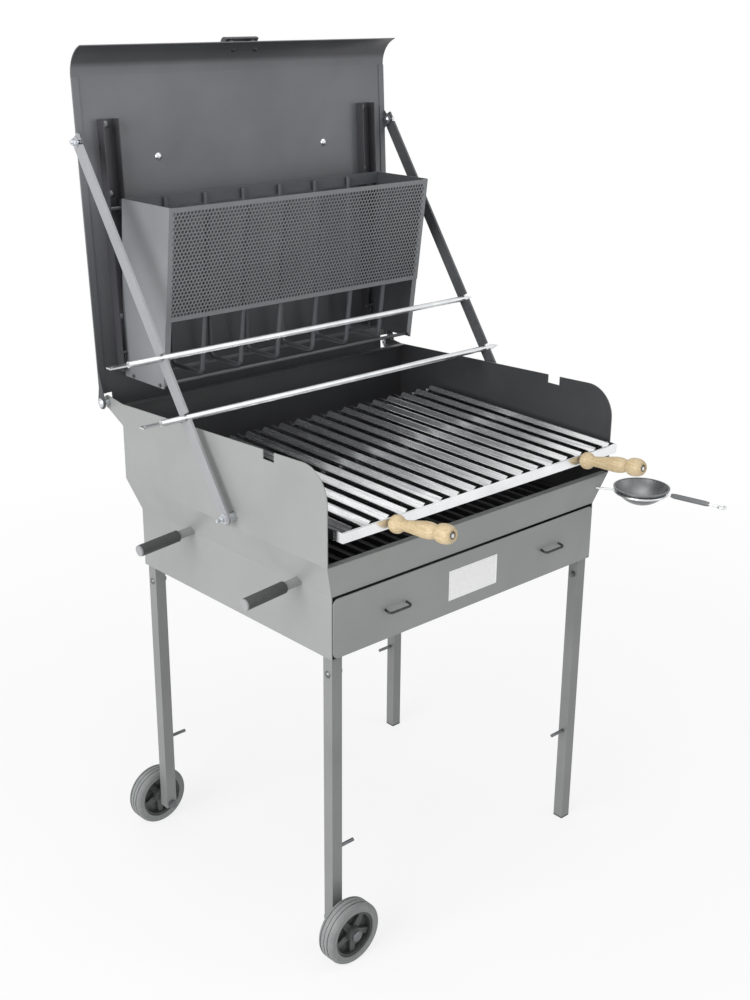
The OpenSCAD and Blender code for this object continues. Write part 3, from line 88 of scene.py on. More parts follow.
class Graph:
    """A small helper that adds and links the nodes of one material."""

    def __init__(self, name: str) -> None:
        """Starts an empty material.

        Args:
            name: Name of the material.
        """
        self.material = bpy.data.materials.new(name)
        self.material.use_nodes = True
        self.tree = self.material.node_tree
        self.tree.nodes.clear()
        self.shader = self.add(Node.SHADER)
        out = self.add(Node.OUTPUT)
        self.link(self.shader.outputs["BSDF"], out.inputs["Surface"])
        coord = self.add(Node.COORD)
        self.coord = coord.outputs["Object"]
        self.normal = coord.outputs["Normal"]

    def add(self, kind: Node, **inputs: object) -> bpy.types.Node:
        """Adds a node and sets or links its inputs.

        Args:
            kind: Which node.
            **inputs: Value or socket for each input, with spaces as underscores.

        Returns:
            The new node.
        """
        made = self.tree.nodes.new(kind.value)
        for key, value in inputs.items():
            socket = made.inputs[key.replace("_", " ")]
            if isinstance(value, Socket):
                self.link(value, socket)
            else:
                socket.default_value = value
        return made

    def link(self, start: Socket, end: Socket) -> None:
        """Links two sockets.

        Args:
            start: Output socket.
            end: Input socket.
        """
        self.tree.links.new(start, end)

    def noise(
        self, scale: float, detail: float = 4.0, grain: Grain = Grain.NONE, rough: float = 0.55,
    ) -> Socket:
        """Adds noise in the object's own coordinates.

        Args:
            scale: Marks per metre.
            detail: Octaves.
            grain: Direction in which the marks are drawn out.
            rough: Strength of the finer octaves.

        Returns:
            The noise's value socket.
        """
        place = self.add(Node.MAPPING, Vector=self.coord, Scale=grain.value)
        made = self.add(Node.NOISE, Vector=place.outputs["Vector"], Scale=scale, Detail=detail, Roughness=rough)
        return made.outputs["Fac"]

    def spread(
        self, value: Socket, low: float, high: float, start: float = 0.3, end: float = 0.7,
    ) -> Socket:
        """Maps a value to a range.

        Args:
            value: Value from 0 to 1.
            low: Result at start.
            high: Result at end.
            start: Value that gives low.
            end: Value that gives high.

        Returns:
            The mapped value.
        """
        made = self.add(Node.RANGE, Value=value, From_Min=start, From_Max=end, To_Min=low, To_Max=high)
        return made.outputs["Result"]

    def blend(self, factor: Socket, first: object, second: object) -> Socket:
        """Mixes two colours.

        Args:
            factor: Share of the second colour.
            first: Colour or socket.
            second: Colour or socket.

        Returns:
            The mixed colour.
        """
        made = self.tree.nodes.new(Node.MIX.value)
        made.data_type = "RGBA"
        sockets = [s for s in made.inputs if s.type == "RGBA"]
        self.link(factor, made.inputs["Factor"])
        for socket, value in zip(sockets, (first, second), strict=True):
            if isinstance(value, Socket):
                self.link(value, socket)
            else:
                socket.default_value = (*value, 1.0)
        return next(s for s in made.outputs if s.type == "RGBA")

    def maths(self, operation: str, first: Socket, second: object = 0.0) -> Socket:
        """Works out one step of arithmetic.

        Args:
            operation: Name of the operation.
            first: First value.
            second: Second value, a number or a socket.

        Returns:
            The result.
        """
        made = self.add(Node.MATH)
        made.operation = operation
        self.link(first, made.inputs[0])
        if isinstance(second, Socket):
            self.link(second, made.inputs[1])
        else:
            made.inputs[1].default_value = second
        return made.outputs[0]

    def length(self, vector: Socket) -> Socket:
        """Measures a vector.

        Args:
            vector: The vector.

        Returns:
            Its length.
        """
        made = self.add(Node.VECTOR)
        made.operation = "LENGTH"
        self.link(vector, made.inputs[0])
        return made.outputs["Value"]

    def bump(
        self, height: Socket, strength: float, distance: float, below: Socket | None = None,
    ) -> Socket:
        """Turns a height into a normal.

        Args:
            height: Height from 0 to 1.
            strength: Share of the effect.
            distance: Height in metres.
            below: Normal of an earlier bump.

        Returns:
            The normal.
        """
        made = self.add(Node.BUMP, Height=height, Strength=strength, Distance=distance)
        if below is not None:
            self.link(below, made.inputs["Normal"])
        return made.outputs["Normal"]


@dataclass(frozen=True)
class Finish:
    """A surface with mottled colour, worn patches, uneven gloss and fine relief, and optional painted shade on inner
    faces and low down.

    Attributes:
        name: Name of the material.
        base: Main colour, linear.
        shade: Colour of the darker mottling.
        wear: Colour of rubbed or stained patches.
        wear_share: How much of the surface is rubbed, from 0 to 1.
        metallic: Metal or not.
        gloss: Lowest and highest roughness.
        marks: Fine marks per metre.
        grain: Direction of the marks.
        relief: Height of the marks in metres.
        clouds: Large patches per metre.
        coat: Strength of a clear coat.
        inner: Colour of the painted shade on the faces turned to the inner side.
        inner_side: Axis number and sign of the inner side's direction.
        inner_top: Whether upward faces get the painted shade as well.
        foot: Colour of the painted shade over the lower part.
        foot_reach: Heights at which the painted shade is full and at which it ends.
    """

    name: str
    base: Colour
    shade: Colour
    wear: Colour
    wear_share: float = 0.1
    metallic: float = 0.0
    gloss: tuple[float, float] = (0.35, 0.5)
    marks: float = 700.0
    grain: Grain = Grain.NONE
    relief: float = 0.00008
    clouds: float = 7.0
    coat: float = 0.0
    inner: Colour | None = None
    inner_side: tuple[int, float] = (0, 1.0)
    inner_top: bool = False
    foot: Colour | None = None
    foot_reach: tuple[float, float] = (0.0, 1.0)

    def build(self) -> bpy.types.Material:
        """Builds the material.

        Returns:
            The material.
        """
        g = Graph(self.name)
        fine = g.noise(self.marks, 5.0, self.grain)
        cloud = g.noise(self.clouds, 6.0)
        scuff = g.noise(self.clouds * 9.0, 8.0, self.grain, 0.7)
        colour = g.blend(g.spread(cloud, 0.0, 1.0, 0.32, 0.68), self.base, self.shade)
        colour = g.blend(g.spread(fine, 0.0, 0.35, 0.45, 0.75), colour, self.shade)
        edge = 0.78 - 0.3 * self.wear_share
        worn = g.spread(scuff, 0.0, 0.8, edge, edge + 0.12)
        colour = g.blend(worn, colour, self.wear)
        # Painted shade: faces turned to the inner side, and upward faces where inner_top is set, darken towards the
        # inner colour.
        if self.inner is not None:
            axis, sign = self.inner_side
            facing = g.add(Node.SPLIT, Vector=g.normal).outputs[axis]
            painted_inner_shade = g.blend(g.spread(cloud, 0.0, 0.5), self.inner, tuple(0.6 * c for c in self.inner))
            toward = g.maths("MULTIPLY", facing, sign)
            if self.inner_top:
                toward = g.maths("MAXIMUM", toward, g.add(Node.SPLIT, Vector=g.normal).outputs["Z"])
            colour = g.blend(g.spread(toward, 0.0, 1.0, 0.2, 0.4), colour, painted_inner_shade)
        # Painted shade: the surface darkens towards the foot colour low down, over the heights of foot_reach.
        if self.foot is not None:
            height = g.add(Node.SPLIT, Vector=g.coord).outputs["Z"]
            ragged = g.maths("ADD", height, g.spread(cloud, -0.05, 0.05, 0.0, 1.0))
            colour = g.blend(g.spread(ragged, 1.0, 0.0, *self.foot_reach), colour, self.foot)
        g.link(colour, g.shader.inputs["Base Color"])
        g.shader.inputs["Metallic"].default_value = self.metallic
        g.link(g.spread(g.noise(self.clouds * 3.0, 5.0, self.grain), *self.gloss), g.shader.inputs["Roughness"])
        g.shader.inputs["Coat Weight"].default_value = self.coat
        g.shader.inputs["Coat Roughness"].default_value = 0.25
        low = g.bump(cloud, 0.15, 0.0006)
        g.link(g.bump(fine, 0.6, self.relief, low), g.shader.inputs["Normal"])
        return g.material


@dataclass(frozen=True)
class WoodFinish:
    """Turned beech: long fibres, short dark rays and a waxed surface.

    Attributes:
        name: Name of the material.
        light: Colour of the early wood.
        dark: Colour of the late wood.
        ray: Colour of the short rays.
    """

    name: str
    light: Colour = (0.60, 0.485, 0.30)
    dark: Colour = (0.45, 0.33, 0.18)
    ray: Colour = (0.38, 0.25, 0.13)

    def build(self) -> bpy.types.Material:
        """Builds the material.

        Returns:
            The material.
        """
        g = Graph(self.name)
        stretch = g.add(Node.MAPPING, Vector=g.coord, Scale=(1.0, 0.06, 1.0))
        rings = g.tree.nodes.new(Node.WAVE.value)
        rings.wave_type = "RINGS"
        rings.rings_direction = "Y"
        for key, value in (("Scale", 60.0), ("Distortion", 9.0), ("Detail", 3.0), ("Detail Scale", 12.0)):
            rings.inputs[key].default_value = value
        g.link(stretch.outputs["Vector"], rings.inputs["Vector"])
        fibre = g.noise(1500.0, 4.0, Grain.ALONG_Y)
        rays = g.noise(520.0, 2.0, Grain.ALONG_Y)
        stain = g.noise(28.0, 5.0)
        colour = g.blend(g.spread(rings.outputs["Fac"], 0.0, 0.75, 0.2, 0.9), self.light, self.dark)
        colour = g.blend(g.spread(fibre, 0.0, 0.35, 0.4, 0.7), colour, self.dark)
        colour = g.blend(g.spread(rays, 0.0, 0.7, 0.66, 0.74), colour, self.ray)
        colour = g.blend(g.spread(stain, 0.0, 0.35, 0.55, 0.75), colour, self.dark)
        g.link(colour, g.shader.inputs["Base Color"])
        g.link(g.spread(fibre, 0.38, 0.55), g.shader.inputs["Roughness"])
        g.shader.inputs["Coat Weight"].default_value = 0.12
        g.shader.inputs["Coat Roughness"].default_value = 0.35
        low = g.bump(rings.outputs["Fac"], 0.25, 0.0002)
        g.link(g.bump(fibre, 0.4, 0.0001, low), g.shader.inputs["Normal"])
        return g.material


@dataclass(frozen=True)
class TyreFinish:
    """Moulded rubber with fine ribs that run round a wheel.

    Attributes:
        name: Name of the material.
        node: Node of the tyre, whose middle is the wheel's.
        light: Colour of the ribs.
        dark: Colour between the ribs, painted shade.
        dust: Colour of the dusty patches.
        rib: Distance from rib to rib.
    """

    name: str
    node: str
    light: Colour = (0.320, 0.332, 0.330)
    dark: Colour = (0.200, 0.210, 0.208)
    dust: Colour = (0.40, 0.40, 0.385)
    rib: float = 2.4 * MM

    def build(self) -> bpy.types.Material:
        """Builds the material.

        Returns:
            The material.
        """
        low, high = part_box(self.node)
        g = Graph(self.name)
        middle = tuple(-(a + b) / 2 for a, b in zip(low, high, strict=True))
        from_middle = g.add(Node.MAPPING, Vector=g.coord, Location=middle)
        flat = g.add(Node.MAPPING, Vector=from_middle.outputs["Vector"], Scale=(1.0, 0.0, 1.0))
        across = g.add(Node.SPLIT, Vector=from_middle.outputs["Vector"]).outputs["Y"]
        along = g.maths("SUBTRACT", g.length(flat.outputs["Vector"]), g.maths("ABSOLUTE", across))
        ribs = g.maths("SINE", g.maths("MULTIPLY", along, math.tau / self.rib))
        fine = g.noise(900.0, 5.0)
        patches = g.noise(38.0, 6.0)
        # Painted shade: the rubber is darker between the ribs.
        colour = g.blend(g.spread(ribs, 0.0, 1.0, 0.9, -0.9), self.light, self.dark)
        colour = g.blend(g.spread(fine, 0.0, 0.3, 0.45, 0.7), colour, self.dark)
        colour = g.blend(g.spread(patches, 0.0, 0.5, 0.55, 0.75), colour, self.dust)
        g.link(colour, g.shader.inputs["Base Color"])
        g.link(g.spread(fine, 0.55, 0.75), g.shader.inputs["Roughness"])
        low_relief = g.bump(ribs, 0.8, 0.0004)
        g.link(g.bump(fine, 0.5, 0.0001, low_relief), g.shader.inputs["Normal"])
        return g.material


@dataclass(frozen=True)
class ChannelFinish:
    """Bright steel of V-shaped bars: light along the lips, with painted shade in the valleys and dark streaks that are
    partly painted reflection.

    Attributes:
        name: Name of the material.
        slope: Slope of the bars down to the front, in degrees.
        lip: Height of the lips above the floor, at the middle of the model.
        depth: Depth of the valleys.
        light: Colour of the lips.
        dark: Colour of the painted shade in the valleys.
        streak: Colour of the dark streaks along the bars, partly brushed marks and partly painted reflection.
    """

    name: str
    slope: float
    lip: float
    depth: float
    light: Colour = (0.96, 0.965, 0.97)
    dark: Colour = (0.34, 0.35, 0.36)
    streak: Colour = (0.45, 0.46, 0.48)

    def build(self) -> bpy.types.Material:
        """Builds the material.

        Returns:
            The material.
        """
        g = Graph(self.name)
        level = g.add(Node.MAPPING, Vector=g.coord, Rotation=(math.radians(-self.slope), 0.0, 0.0))
        height = g.add(Node.SPLIT, Vector=level.outputs["Vector"]).outputs["Z"]
        fine = g.noise(1300.0, 5.0, Grain.ALONG_Y)
        streaks = g.noise(260.0, 3.0, Grain.ALONG_Y)
        cloud = g.noise(14.0, 6.0)
        wobble = g.spread(g.noise(60.0, 4.0, Grain.ALONG_Y), -0.12 * self.depth, 0.12 * self.depth, 0.0, 1.0)
        # Painted shade: the colour darkens from the lips down into the valleys.
        shade = g.spread(g.maths("ADD", height, wobble), 1.0, 0.0, self.lip - self.depth, self.lip - 0.5 * self.depth)
        colour = g.blend(shade, self.light, self.dark)
        # The streak colour, laid along the bars and in fine marks and patches, stands partly for brushed marks and
        # partly for painted reflection.
        colour = g.blend(g.spread(streaks, 0.0, 0.6, 0.52, 0.68), colour, self.streak)
        colour = g.blend(g.spread(fine, 0.0, 0.35, 0.45, 0.75), colour, self.streak)
        colour = g.blend(g.spread(cloud, 0.0, 0.4, 0.5, 0.75), colour, self.streak)
        g.link(colour, g.shader.inputs["Base Color"])
        g.shader.inputs["Metallic"].default_value = 1.0
        g.link(g.spread(streaks, 0.14, 0.32), g.shader.inputs["Roughness"])
        low = g.bump(streaks, 0.3, 0.0004)
        g.link(g.bump(fine, 0.6, 0.00004, low), g.shader.inputs["Normal"])
        return g.material


# Painted shade for the firebox: the inner faces of the side, rear and front walls, and the rear wall's top edge, are
# darkened.
PAINTED_SHADE = (0.050, 0.051, 0.054)
PAINT = Finish(
    "paint", base=(0.300, 0.310, 0.302), shade=(0.270, 0.280, 0.273), wear=(0.40, 0.41, 0.40),
    wear_share=0.05, metallic=0.15, gloss=(0.36, 0.48), marks=1100.0, relief=0.00006)
LEFT_PAINT = replace(PAINT, name="paint_left", inner=PAINTED_SHADE, inner_side=(0, 1.0))
RIGHT_PAINT = replace(PAINT, name="paint_right", inner=PAINTED_SHADE, inner_side=(0, -1.0))
REAR_PAINT = replace(PAINT, name="paint_rear", inner=PAINTED_SHADE, inner_side=(1, -1.0), inner_top=True)
FRONT_PAINT = replace(PAINT, name="paint_front", inner=PAINTED_SHADE, inner_side=(1, 1.0))
LEG_PAINT = replace(PAINT, name="leg_paint", base=(0.235, 0.240, 0.236), shade=(0.206, 0.212, 0.207))
# The lid's downward faces under its curl get painted shade, and painted shade darkens its lower part behind the fire
# basket.
LID_PAINT = replace(
    PAINT, name="lid_paint", base=(0.168, 0.170, 0.180), shade=(0.136, 0.138, 0.147), wear=(0.23, 0.235, 0.24),
    inner=(0.075, 0.076, 0.081), inner_side=(2, -1.0), foot=(0.042, 0.043, 0.046), foot_reach=(0.82, 1.18))
BASKET = replace(
    PAINT, name="basket_paint", base=(0.225, 0.232, 0.240), shade=(0.195, 0.202, 0.210), wear=(0.33, 0.335, 0.34),
    metallic=0.2, gloss=(0.38, 0.52))
# Painted shade on the inner faces of the fire basket's side plates.
BASKET_PAINTED_SHADE = (0.085, 0.088, 0.094)
BASKET_LEFT = replace(BASKET, name="basket_left", inner=BASKET_PAINTED_SHADE, inner_side=(0, 1.0))
BASKET_RIGHT = replace(BASKET, name="basket_right", inner=BASKET_PAINTED_SHADE, inner_side=(0, -1.0))
SHEET = replace(
    BASKET, name="sheet_paint", base=(0.225, 0.229, 0.238), shade=(0.190, 0.194, 0.203), wear=(0.30, 0.30, 0.31))
BASKET_ROD = replace(
    BASKET, name="rod_paint", base=(0.110, 0.113, 0.120), shade=(0.082, 0.085, 0.092), wear=(0.20, 0.20, 0.20))
# Parts deep inside the firebox are coloured as dark as painted shade.
INNER_PAINTED_SHADE = replace(
    PAINT, name="inner_painted_shade", base=PAINTED_SHADE, shade=(0.036, 0.037, 0.040), wear=(0.12, 0.12, 0.12), gloss=(0.45, 0.62))
RAIL_PAINT = replace(
    PAINT, name="rail_paint", base=(0.060, 0.060, 0.066), shade=(0.046, 0.046, 0.051), wear=(0.16, 0.16, 0.17))
STAY = replace(
    PAINT, name="stay_zinc", base=(0.330, 0.335, 0.345), shade=(0.280, 0.285, 0.295), wear=(0.46, 0.46, 0.47),
    wear_share=0.12, metallic=0.35)
# The right stay is a darker copy of the stay's finish: painted shade.
STAY_RIGHT = replace(
    STAY, name="stay_right_shaded", base=(0.120, 0.122, 0.128), shade=(0.090, 0.092, 0.098), wear=(0.22, 0.22, 0.23))
ZINC = Finish(
    "zinc", base=(0.74, 0.76, 0.79), shade=(0.52, 0.54, 0.57), wear=(0.40, 0.40, 0.42),
    wear_share=0.15, metallic=1.0, gloss=(0.2, 0.38), marks=1400.0, relief=0.00004, clouds=90.0)
DULL_ZINC = replace(
    ZINC, name="dull_zinc", base=(0.20, 0.205, 0.215), shade=(0.14, 0.145, 0.15), wear=(0.34, 0.33, 0.32),
    metallic=0.8, gloss=(0.32, 0.5))
DARK_WIRE = replace(
    ZINC, name="dark_wire", base=(0.060, 0.062, 0.066), shade=(0.040, 0.042, 0.046), wear=(0.20, 0.20, 0.21),
    metallic=0.7, gloss=(0.3, 0.46))
# The grill steel's dark streaky mottling stands partly for brushed marks and partly for painted reflection.
GRILL = Finish(
    "grill_steel", base=(0.84, 0.85, 0.86), shade=(0.50, 0.51, 0.53), wear=(0.30, 0.31, 0.33),
    wear_share=0.3, metallic=1.0, gloss=(0.12, 0.28), marks=1300.0, grain=Grain.ALONG_Y, relief=0.00004, clouds=14.0)
BARS = ChannelFinish("channel_steel", slope=1.45, lip=750.8 * MM, depth=12.0 * MM)
GUTTER = replace(
    GRILL, name="gutter_steel", base=(0.92, 0.93, 0.94), shade=(0.78, 0.79, 0.80), wear=(0.50, 0.51, 0.53),
    wear_share=0.12, grain=Grain.ALONG_X)
SKEWER = replace(
    GUTTER, name="skewer_steel", base=(0.78, 0.79, 0.80), shade=(0.60, 0.61, 0.62), gloss=(0.22, 0.38), clouds=20.0)
CAST = Finish(
    "cast_iron", base=(0.060, 0.060, 0.063), shade=(0.035, 0.035, 0.037), wear=(0.14, 0.12, 0.10),
    wear_share=0.25, metallic=0.5, gloss=(0.5, 0.75), marks=420.0, relief=0.00035, clouds=18.0)
FRONT_TYRE = TyreFinish("front_tyre_rubber", "tyre_front")
REAR_TYRE = TyreFinish("rear_tyre_rubber", "tyre_rear")
HUB = Finish(
    "hub_plastic", base=(0.075, 0.079, 0.077), shade=(0.052, 0.055, 0.054), wear=(0.15, 0.15, 0.15),
    wear_share=0.1, gloss=(0.35, 0.5), marks=1000.0, clouds=40.0)
GRIP = replace(
    HUB, name="grip_rubber", base=(0.060, 0.062, 0.062), shade=(0.045, 0.047, 0.047), gloss=(0.5, 0.66),
    relief=0.00012, clouds=50.0)
CAP = replace(
    HUB, name="cap_plastic", base=(0.30, 0.305, 0.31), shade=(0.25, 0.255, 0.26), wear=(0.38, 0.38, 0.38), clouds=50.0)
PAN_GRIP = replace(
    HUB, name="pan_grip_plastic", base=(0.16, 0.165, 0.17), shade=(0.12, 0.125, 0.13), wear=(0.24, 0.24, 0.24))
PLATE = Finish(
    "plate_lacquer", base=(0.94, 0.94, 0.93), shade=(0.91, 0.91, 0.90), wear=(0.80, 0.79, 0.77),
    wear_share=0.03, gloss=(0.22, 0.34), marks=900.0, relief=0.00003, clouds=30.0)
PAN = Finish(
    "pan_steel", base=(0.22, 0.225, 0.23), shade=(0.16, 0.165, 0.17), wear=(0.12, 0.115, 0.11),
    wear_share=0.15, metallic=0.8, gloss=(0.3, 0.46), marks=900.0, clouds=30.0)
BEECH = WoodFinish("beech")

AnyFinish = Finish | WoodFinish | TyreFinish | ChannelFinish
NODE_FINISHES: dict[AnyFinish, tuple[str, ...]] = {
    PAINT: ("drawer_front", "grip_tubes"),
    LEFT_PAINT: ("side_panel_left",),
    RIGHT_PAINT: ("side_panel_right",),
    REAR_PAINT: ("rear_wall",),
    FRONT_PAINT: ("front_apron",),
    LEG_PAINT: ("leg_front_left", "leg_front_right", "leg_rear_left", "leg_rear_right", "leg_stubs"),
    LID_PAINT: ("lid_shell",),
    INNER_PAINTED_SHADE: ("floor_plate", "drawer_tray", "grill_ledges", "grate_ledge"),
    RAIL_PAINT: ("lid_rails", "lid_handle"),
    BASKET_LEFT: ("basket_side_left",),
    BASKET_RIGHT: ("basket_side_right",),
    SHEET: ("basket_front_sheet",),
    BASKET_ROD: ("basket_rods", "basket_tie_rods", "basket_rear_rail"),
    STAY: ("stay_left",),
    STAY_RIGHT: ("stay_right",),
    BARS: ("grill_bars",),
    GRILL: ("grill_frame",),
    GUTTER: ("grill_gutter",),
    SKEWER: ("skewer_upper", "skewer_lower", "grill_handle_rods", "pan_holder", "pan_handle"),
    ZINC: ("hinge_bolts", "stay_bolts", "lid_studs", "lid_face_screws"),
    DULL_ZINC: ("leg_bolts", "shelf_pegs", "rail_bolts", "hanger_pins", "handle_nuts", "axle_bolts"),
    DARK_WIRE: ("drawer_bows", "lid_handle_screws"),
    CAST: ("charcoal_grate",),
    FRONT_TYRE: ("tyre_front",),
    REAR_TYRE: ("tyre_rear",),
    HUB: ("hub_front", "hub_rear", "leg_plugs"),
    GRIP: ("side_grip_front", "side_grip_rear"),
    CAP: ("grip_caps",),
    PAN_GRIP: ("pan_grip",),
    PLATE: ("blank_plate",),
    PAN: ("pan_bowl",),
    BEECH: ("wood_handle_left", "wood_handle_right"),
}


class Palette:
    """Builds each finish once and gives it to nodes and new pieces."""

    def __init__(self) -> None:
        """Starts with no materials."""
        self._made: dict[str, bpy.types.Material] = {}

    def get(self, finish: AnyFinish) -> bpy.types.Material:
        """Gives a finish's material.

        Args:
            finish: The finish.

        Returns:
            Its material.
        """
        if finish.name not in self._made:
            self._made[finish.name] = finish.build()
        return self._made[finish.name]

    def dress_nodes(self) -> None:
        """Gives every node of the model its finish."""
        dressed: set[str] = set()
        for finish, names in NODE_FINISHES.items():
            for name in names:
                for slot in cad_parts[name].material_slots:
                    slot.material = self.get(finish)
                dressed.add(name)
        left = set(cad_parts) - dressed
        if left:
            raise ValueError(f"no finish for {sorted(left)}")
        LOG.info("%d nodes dressed", len(dressed))


def new_piece(
    name: str, mesh: bpy.types.Mesh, material: bpy.types.Material, body: str,
) -> bpy.types.Object:
    """Adds a mesh as a piece of the object.

    Args:
        name: Name of the piece.
        mesh: Its mesh, in the model's frame.
        material: Its material.
        body: Body that it rides on.

    Returns:
        The new object.
    """
    piece = bpy.data.objects.new(name, mesh)
    bpy.context.collection.objects.link(piece)
    mesh.materials.append(material)
    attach(piece, body)
    return piece


def mesh_from(name: str, work: bmesh.types.BMesh, smooth_angle: float | None = None) -> bpy.types.Mesh:
    """Turns edit data into a mesh with outward faces.

    Args:
        name: Name of the mesh.
        work: The edit data, freed here.
        smooth_angle: Angle in degrees below which edges look smooth.

    Returns:
        The mesh.
    """
    bmesh.ops.recalc_face_normals(work, faces=work.faces)
    if smooth_angle is not None:
        limit = math.radians(smooth_angle)
        for face in work.faces:
            face.smooth = True
        for edge in work.edges:
            edge.smooth = len(edge.link_faces) == 2 and edge.calc_face_angle(math.pi) < limit
    mesh = bpy.data.meshes.new(name)
    work.to_mesh(mesh)
    work.free()
    return mesh


def lathe(profile: list[tuple[float, float]], start: Vector, axis: Vector, steps: int) -> bmesh.types.BMesh:
    """Turns a closed outline of distance along the axis and radius.

    Args:
        profile: Points as (distance, radius), from the start's bore round to it again.
        start: Where distance is 0.
        axis: Unit vector of the axis.
        steps: Steps round the axis.

    Returns:
        The turned form.
    """
    work = bmesh.new()
    across = axis.orthogonal().normalized()
    other = axis.cross(across)
    rings = []
    for i in range(steps):
        a = math.tau * i / steps
        out = across * math.cos(a) + other * math.sin(a)
        rings.append([work.verts.new(start + axis * t + out * r) for t, r in profile])
    count = len(profile)
    for i in range(steps):
        one, two = rings[i], rings[(i + 1) % steps]
        for k in range(count):
            n = (k + 1) % count
            work.faces.new((one[k], two[k], two[n], one[n]))
    return work


def smooth_curve(points: list[tuple[float, float]], per_span: int) -> list[tuple[float, float]]:
    """Runs a smooth curve through points.

    Args:
        points: The points.
        per_span: Steps from each point to the next.

    Returns:
        Points along the curve.
    """
    out: list[tuple[float, float]] = []
    for i in range(len(points) - 1):
        p0 = points[max(i - 1, 0)]
        p1, p2 = points[i], points[i + 1]
        p3 = points[min(i + 2, len(points) - 1)]
        for s in range(per_span):
            t = s / per_span
            out.append(tuple(
                0.5 * (2 * b + (c - a) * t + (2 * a - 5 * b + 4 * c - d) * t * t + (3 * b - a - 3 * c + d) * t ** 3)
                for a, b, c, d in zip(p0, p1, p2, p3, strict=True)))
    out.append(points[-1])
    return out


@dataclass
class TurnedHandle:
    """A turned wooden handle with beads, a waist, a belly and an end ball.

    Attributes:
        node: Node that it stands for.
        rise: Angle at which it rises, in degrees.
        bore: Radius of its bore.
    """

    node: str
    rise: float = 8.1
    bore: float = 3.1 * MM

    def build(self, palette: Palette) -> None:
        """Builds the handle in the node's place.

        Args:
            palette: The materials.
        """
        axis = Vector((0.0, -math.cos(math.radians(self.rise)), math.sin(math.radians(self.rise))))
        points = [v.co.copy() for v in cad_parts[self.node].data.vertices]
        reach = [p.dot(axis) for p in points]
        low, high = min(reach), max(reach)
        box_low, box_high = (Vector(c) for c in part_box(self.node))
        middle = (box_low + box_high) / 2
        wide = max((p - middle).cross(axis).length for p in points)
        start = middle + axis * (low - middle.dot(axis))
        length = high - low
        share = wide
        shape = [(0.000, 0.34), (0.010, 0.62), (0.045, 0.88), (0.085, 0.95), (0.125, 0.90), (0.160, 0.70),
                 (0.178, 0.58), (0.200, 0.57), (0.24, 0.59), (0.34, 0.66), (0.46, 0.78), (0.57, 0.87), (0.66, 0.83),
                 (0.710, 0.70), (0.733, 0.56), (0.755, 0.66), (0.80, 0.92), (0.865, 1.0), (0.93, 0.95),
                 (0.975, 0.80), (1.0, 0.60)]
        outer = smooth_curve([(t * length, r * share) for t, r in shape], 4)
        recess = 8.5 * MM
        wide_bore = 6.0 * MM
        profile = [(0.0, self.bore), *outer, (length, wide_bore),
                   (length - recess, wide_bore), (length - recess, self.bore)]
        mesh = mesh_from(self.node + "_turned", lathe(profile, start, axis, 64), 35.0)
        piece = new_piece(self.node + "_turned", mesh, palette.get(BEECH), "grill")
        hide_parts(self.node)


